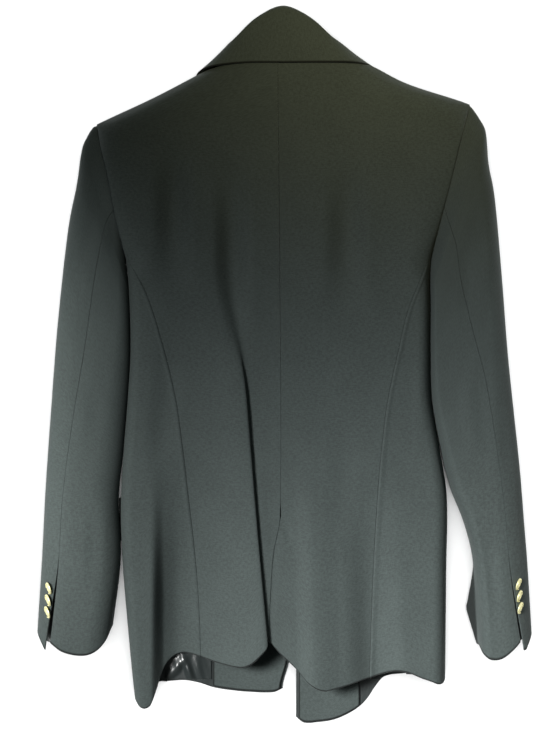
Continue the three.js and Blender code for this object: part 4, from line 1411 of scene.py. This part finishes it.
def button(name, node, radius, height, away):
    """A cast button on its CAD node's place that looks along away: a beaded rim, a hollow ring
    with short rays, and a dome with a plain raised disc."""
    steps = np.linspace(0, len(BUTTON_SECTION) - 1, BUTTON_RINGS)
    spots = range(len(BUTTON_SECTION))
    r, z = (np.interp(steps, spots, column)[:, None] for column in zip(*BUTTON_SECTION))
    angle = np.linspace(0, 2 * math.pi, BUTTON_FACETS, endpoint=False)
    relief = BEAD_RELIEF * bumps(r, angle, **BEADS) + RAY_RELIEF * bumps(r, angle, **RAYS)
    up = height * (z + (z > RELIEF_FROM) * (relief - BEAD_RELIEF))
    points = stack(radius * r * np.cos(angle), radius * r * np.sin(angle), up)[1:-1]
    middles = [[0, 0, 0], [0, 0, points[-1, 0, 2]]]
    index = np.arange(points[..., 0].size).reshape(points.shape[:2])
    after = np.roll(index, -1, axis=1)
    faces = np.stack([index[:-1], after[:-1], after[1:], index[1:]], axis=-1).reshape(-1, 4)
    base = index.size
    ends = [
        corners
        for k, n, low, high in zip(index[0], after[0], index[-1], after[-1])
        for corners in ((n, k, base), (low, high, base + 1))
    ]
    points = np.concatenate([points.reshape(-1, 3), middles])
    obj = solid(name, points, [*faces.tolist(), *ends], [brass_material()])

    low, high = (Vector(corner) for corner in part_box(node))
    away = Vector(away).normalized()
    obj.rotation_mode = "QUATERNION"
    obj.rotation_quaternion = away.to_track_quat("Z", "Y")
    obj.location = (low + high) / 2 - away * height / 2
    bpy.context.view_layer.update()
    stand_for(obj, node, "brass")


class BLAZER_OT_buttons(bpy.types.Operator):
    """Build the cuff buttons and the front button"""

    bl_idname = "blazer.buttons"
    bl_label = "Buttons"

    def execute(self, context):
        """Builds them."""
        x, y, z = BUTTON_LOOKS
        for side, turn in TURN.items():
            for place in range(1, CUFF_BUTTONS + 1):
                names = f"{side}_cuff_button_{place}", f"cuff_button_{side}_{place}"
                button(*names, **CUFF_BUTTON, away=(x * turn, y, z))
        low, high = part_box("front_button")
        radius, height = (high[0] - low[0]) / 2, high[2] - low[2]
        button("closing_button", "front_button", radius, height, (0, 0, -1))
        return {"FINISHED"}


def area_light(name, power, receivers, size, place, aim, colour, spread):
    """A soft light that shines only on one collection."""
    data = bpy.data.lights.new(name, "AREA")
    data.energy = power
    data.shape = "RECTANGLE"
    data.size, data.size_y = size
    data.spread = math.radians(spread)
    data.color = colour
    obj = bpy.data.objects.new(name, data)
    obj.visible_camera = False
    bpy.context.scene.collection.objects.link(obj)
    obj.location = place
    obj.rotation_euler = (Vector(aim) - Vector(place)).to_track_quat("-Z", "Y").to_euler()
    obj.light_linking.receiver_collection = receivers


class BLAZER_OT_stage(bpy.types.Operator):
    """Set the floor, the lights and the camera"""

    bl_idname = "blazer.stage"
    bl_label = "Stage"

    def execute(self, context):
        """Sets them."""
        stage = context.scene.blazer_stage
        low, high = (Vector(corner) for corner in CAD_BOX)
        studio = collection("Studio")
        mesh = bpy.data.meshes.new("Floor")
        corners = [(x * FLOOR_REACH, y * FLOOR_REACH, low.z - FLOOR_GAP) for x, y in CORNERS]
        mesh.from_pydata(corners, [], [(0, 1, 2, 3)])
        mesh.materials.append(floor_material())
        floor = bpy.data.objects.new("Floor", mesh)
        studio.objects.link(floor)

        sides = (LEFT_LIGHT_STRONGER * stage.side, stage.side)
        powers = (stage.key, *sides, stage.fill, stage.wash)
        for (name, light), power in zip(LIGHTS.items(), powers):
            lit = studio if name == "Floor light" else collection("Blazer")
            area_light(name, power, lit, *light)
        world = bpy.data.worlds.new("Studio")
        world.use_nodes = True
        background = world.node_tree.nodes["Background"]
        background.inputs["Color"].default_value = WORLD_COLOUR
        background.inputs["Strength"].default_value = WORLD_STRENGTH
        context.scene.world = world
        context.scene.view_settings.view_transform = "Standard"

        data = bpy.data.cameras.new("Camera")
        data.lens = stage.lens
        data.sensor_width = 36
        data.clip_end = 50
        camera = bpy.data.objects.new("Camera", data)
        context.scene.collection.objects.link(camera)
        camera.location = (low + high) / 2 + Vector((*CAMERA_OFF_MIDDLE, 0))
        camera.location.z = low.z + stage.height
        camera.rotation_euler = (0, 0, 0)
        context.scene.camera = camera
        return {"FINISHED"}


class BLAZER_PT_panel(bpy.types.Panel):
    """The blazer's sizes, colours and pieces"""

    bl_idname = "BLAZER_PT_panel"
    bl_label = "Blazer"
    bl_space_type = "VIEW_3D"
    bl_region_type = "UI"
    bl_category = "Blazer"

    def draw(self, context):
        """Lists them."""
        for title, group in GROUPS.items():
            box = self.layout.box()
            for name in group.__annotations__:
                box.prop(getattr(context.scene, title), name)
        for operator in PIECES:
            self.layout.operator(operator.bl_idname)


GROUPS = {
    "blazer_sizes": BlazerSizes, "blazer_colours": BlazerColours, "blazer_stage": BlazerStage
}
PIECES = (
    BLAZER_OT_back, BLAZER_OT_sides, BLAZER_OT_fronts, BLAZER_OT_insides, BLAZER_OT_sleeves,
    BLAZER_OT_collar, BLAZER_OT_buttons, BLAZER_OT_stage,
)
CLASSES = (*GROUPS.values(), *PIECES, BLAZER_PT_panel)


def register():
    """Adds the add-on's classes and settings to Blender."""
    for item in CLASSES:
        bpy.utils.register_class(item)
    for name, group in GROUPS.items():
        setattr(bpy.types.Scene, name, PointerProperty(type=group))


def unregister():
    """Takes them out again."""
    for name in GROUPS:
        delattr(bpy.types.Scene, name)
    for item in reversed(CLASSES):
        bpy.utils.unregister_class(item)


def main():
    """Builds every piece, then the stage."""
    register()
    bpy.ops.blazer.back()
    bpy.ops.blazer.sides()
    bpy.ops.blazer.fronts()
    bpy.ops.blazer.insides()
    bpy.ops.blazer.sleeves()
    bpy.ops.blazer.collar()
    bpy.ops.blazer.buttons()
    bpy.ops.blazer.stage()


if __name__ == "__main__":
    main()
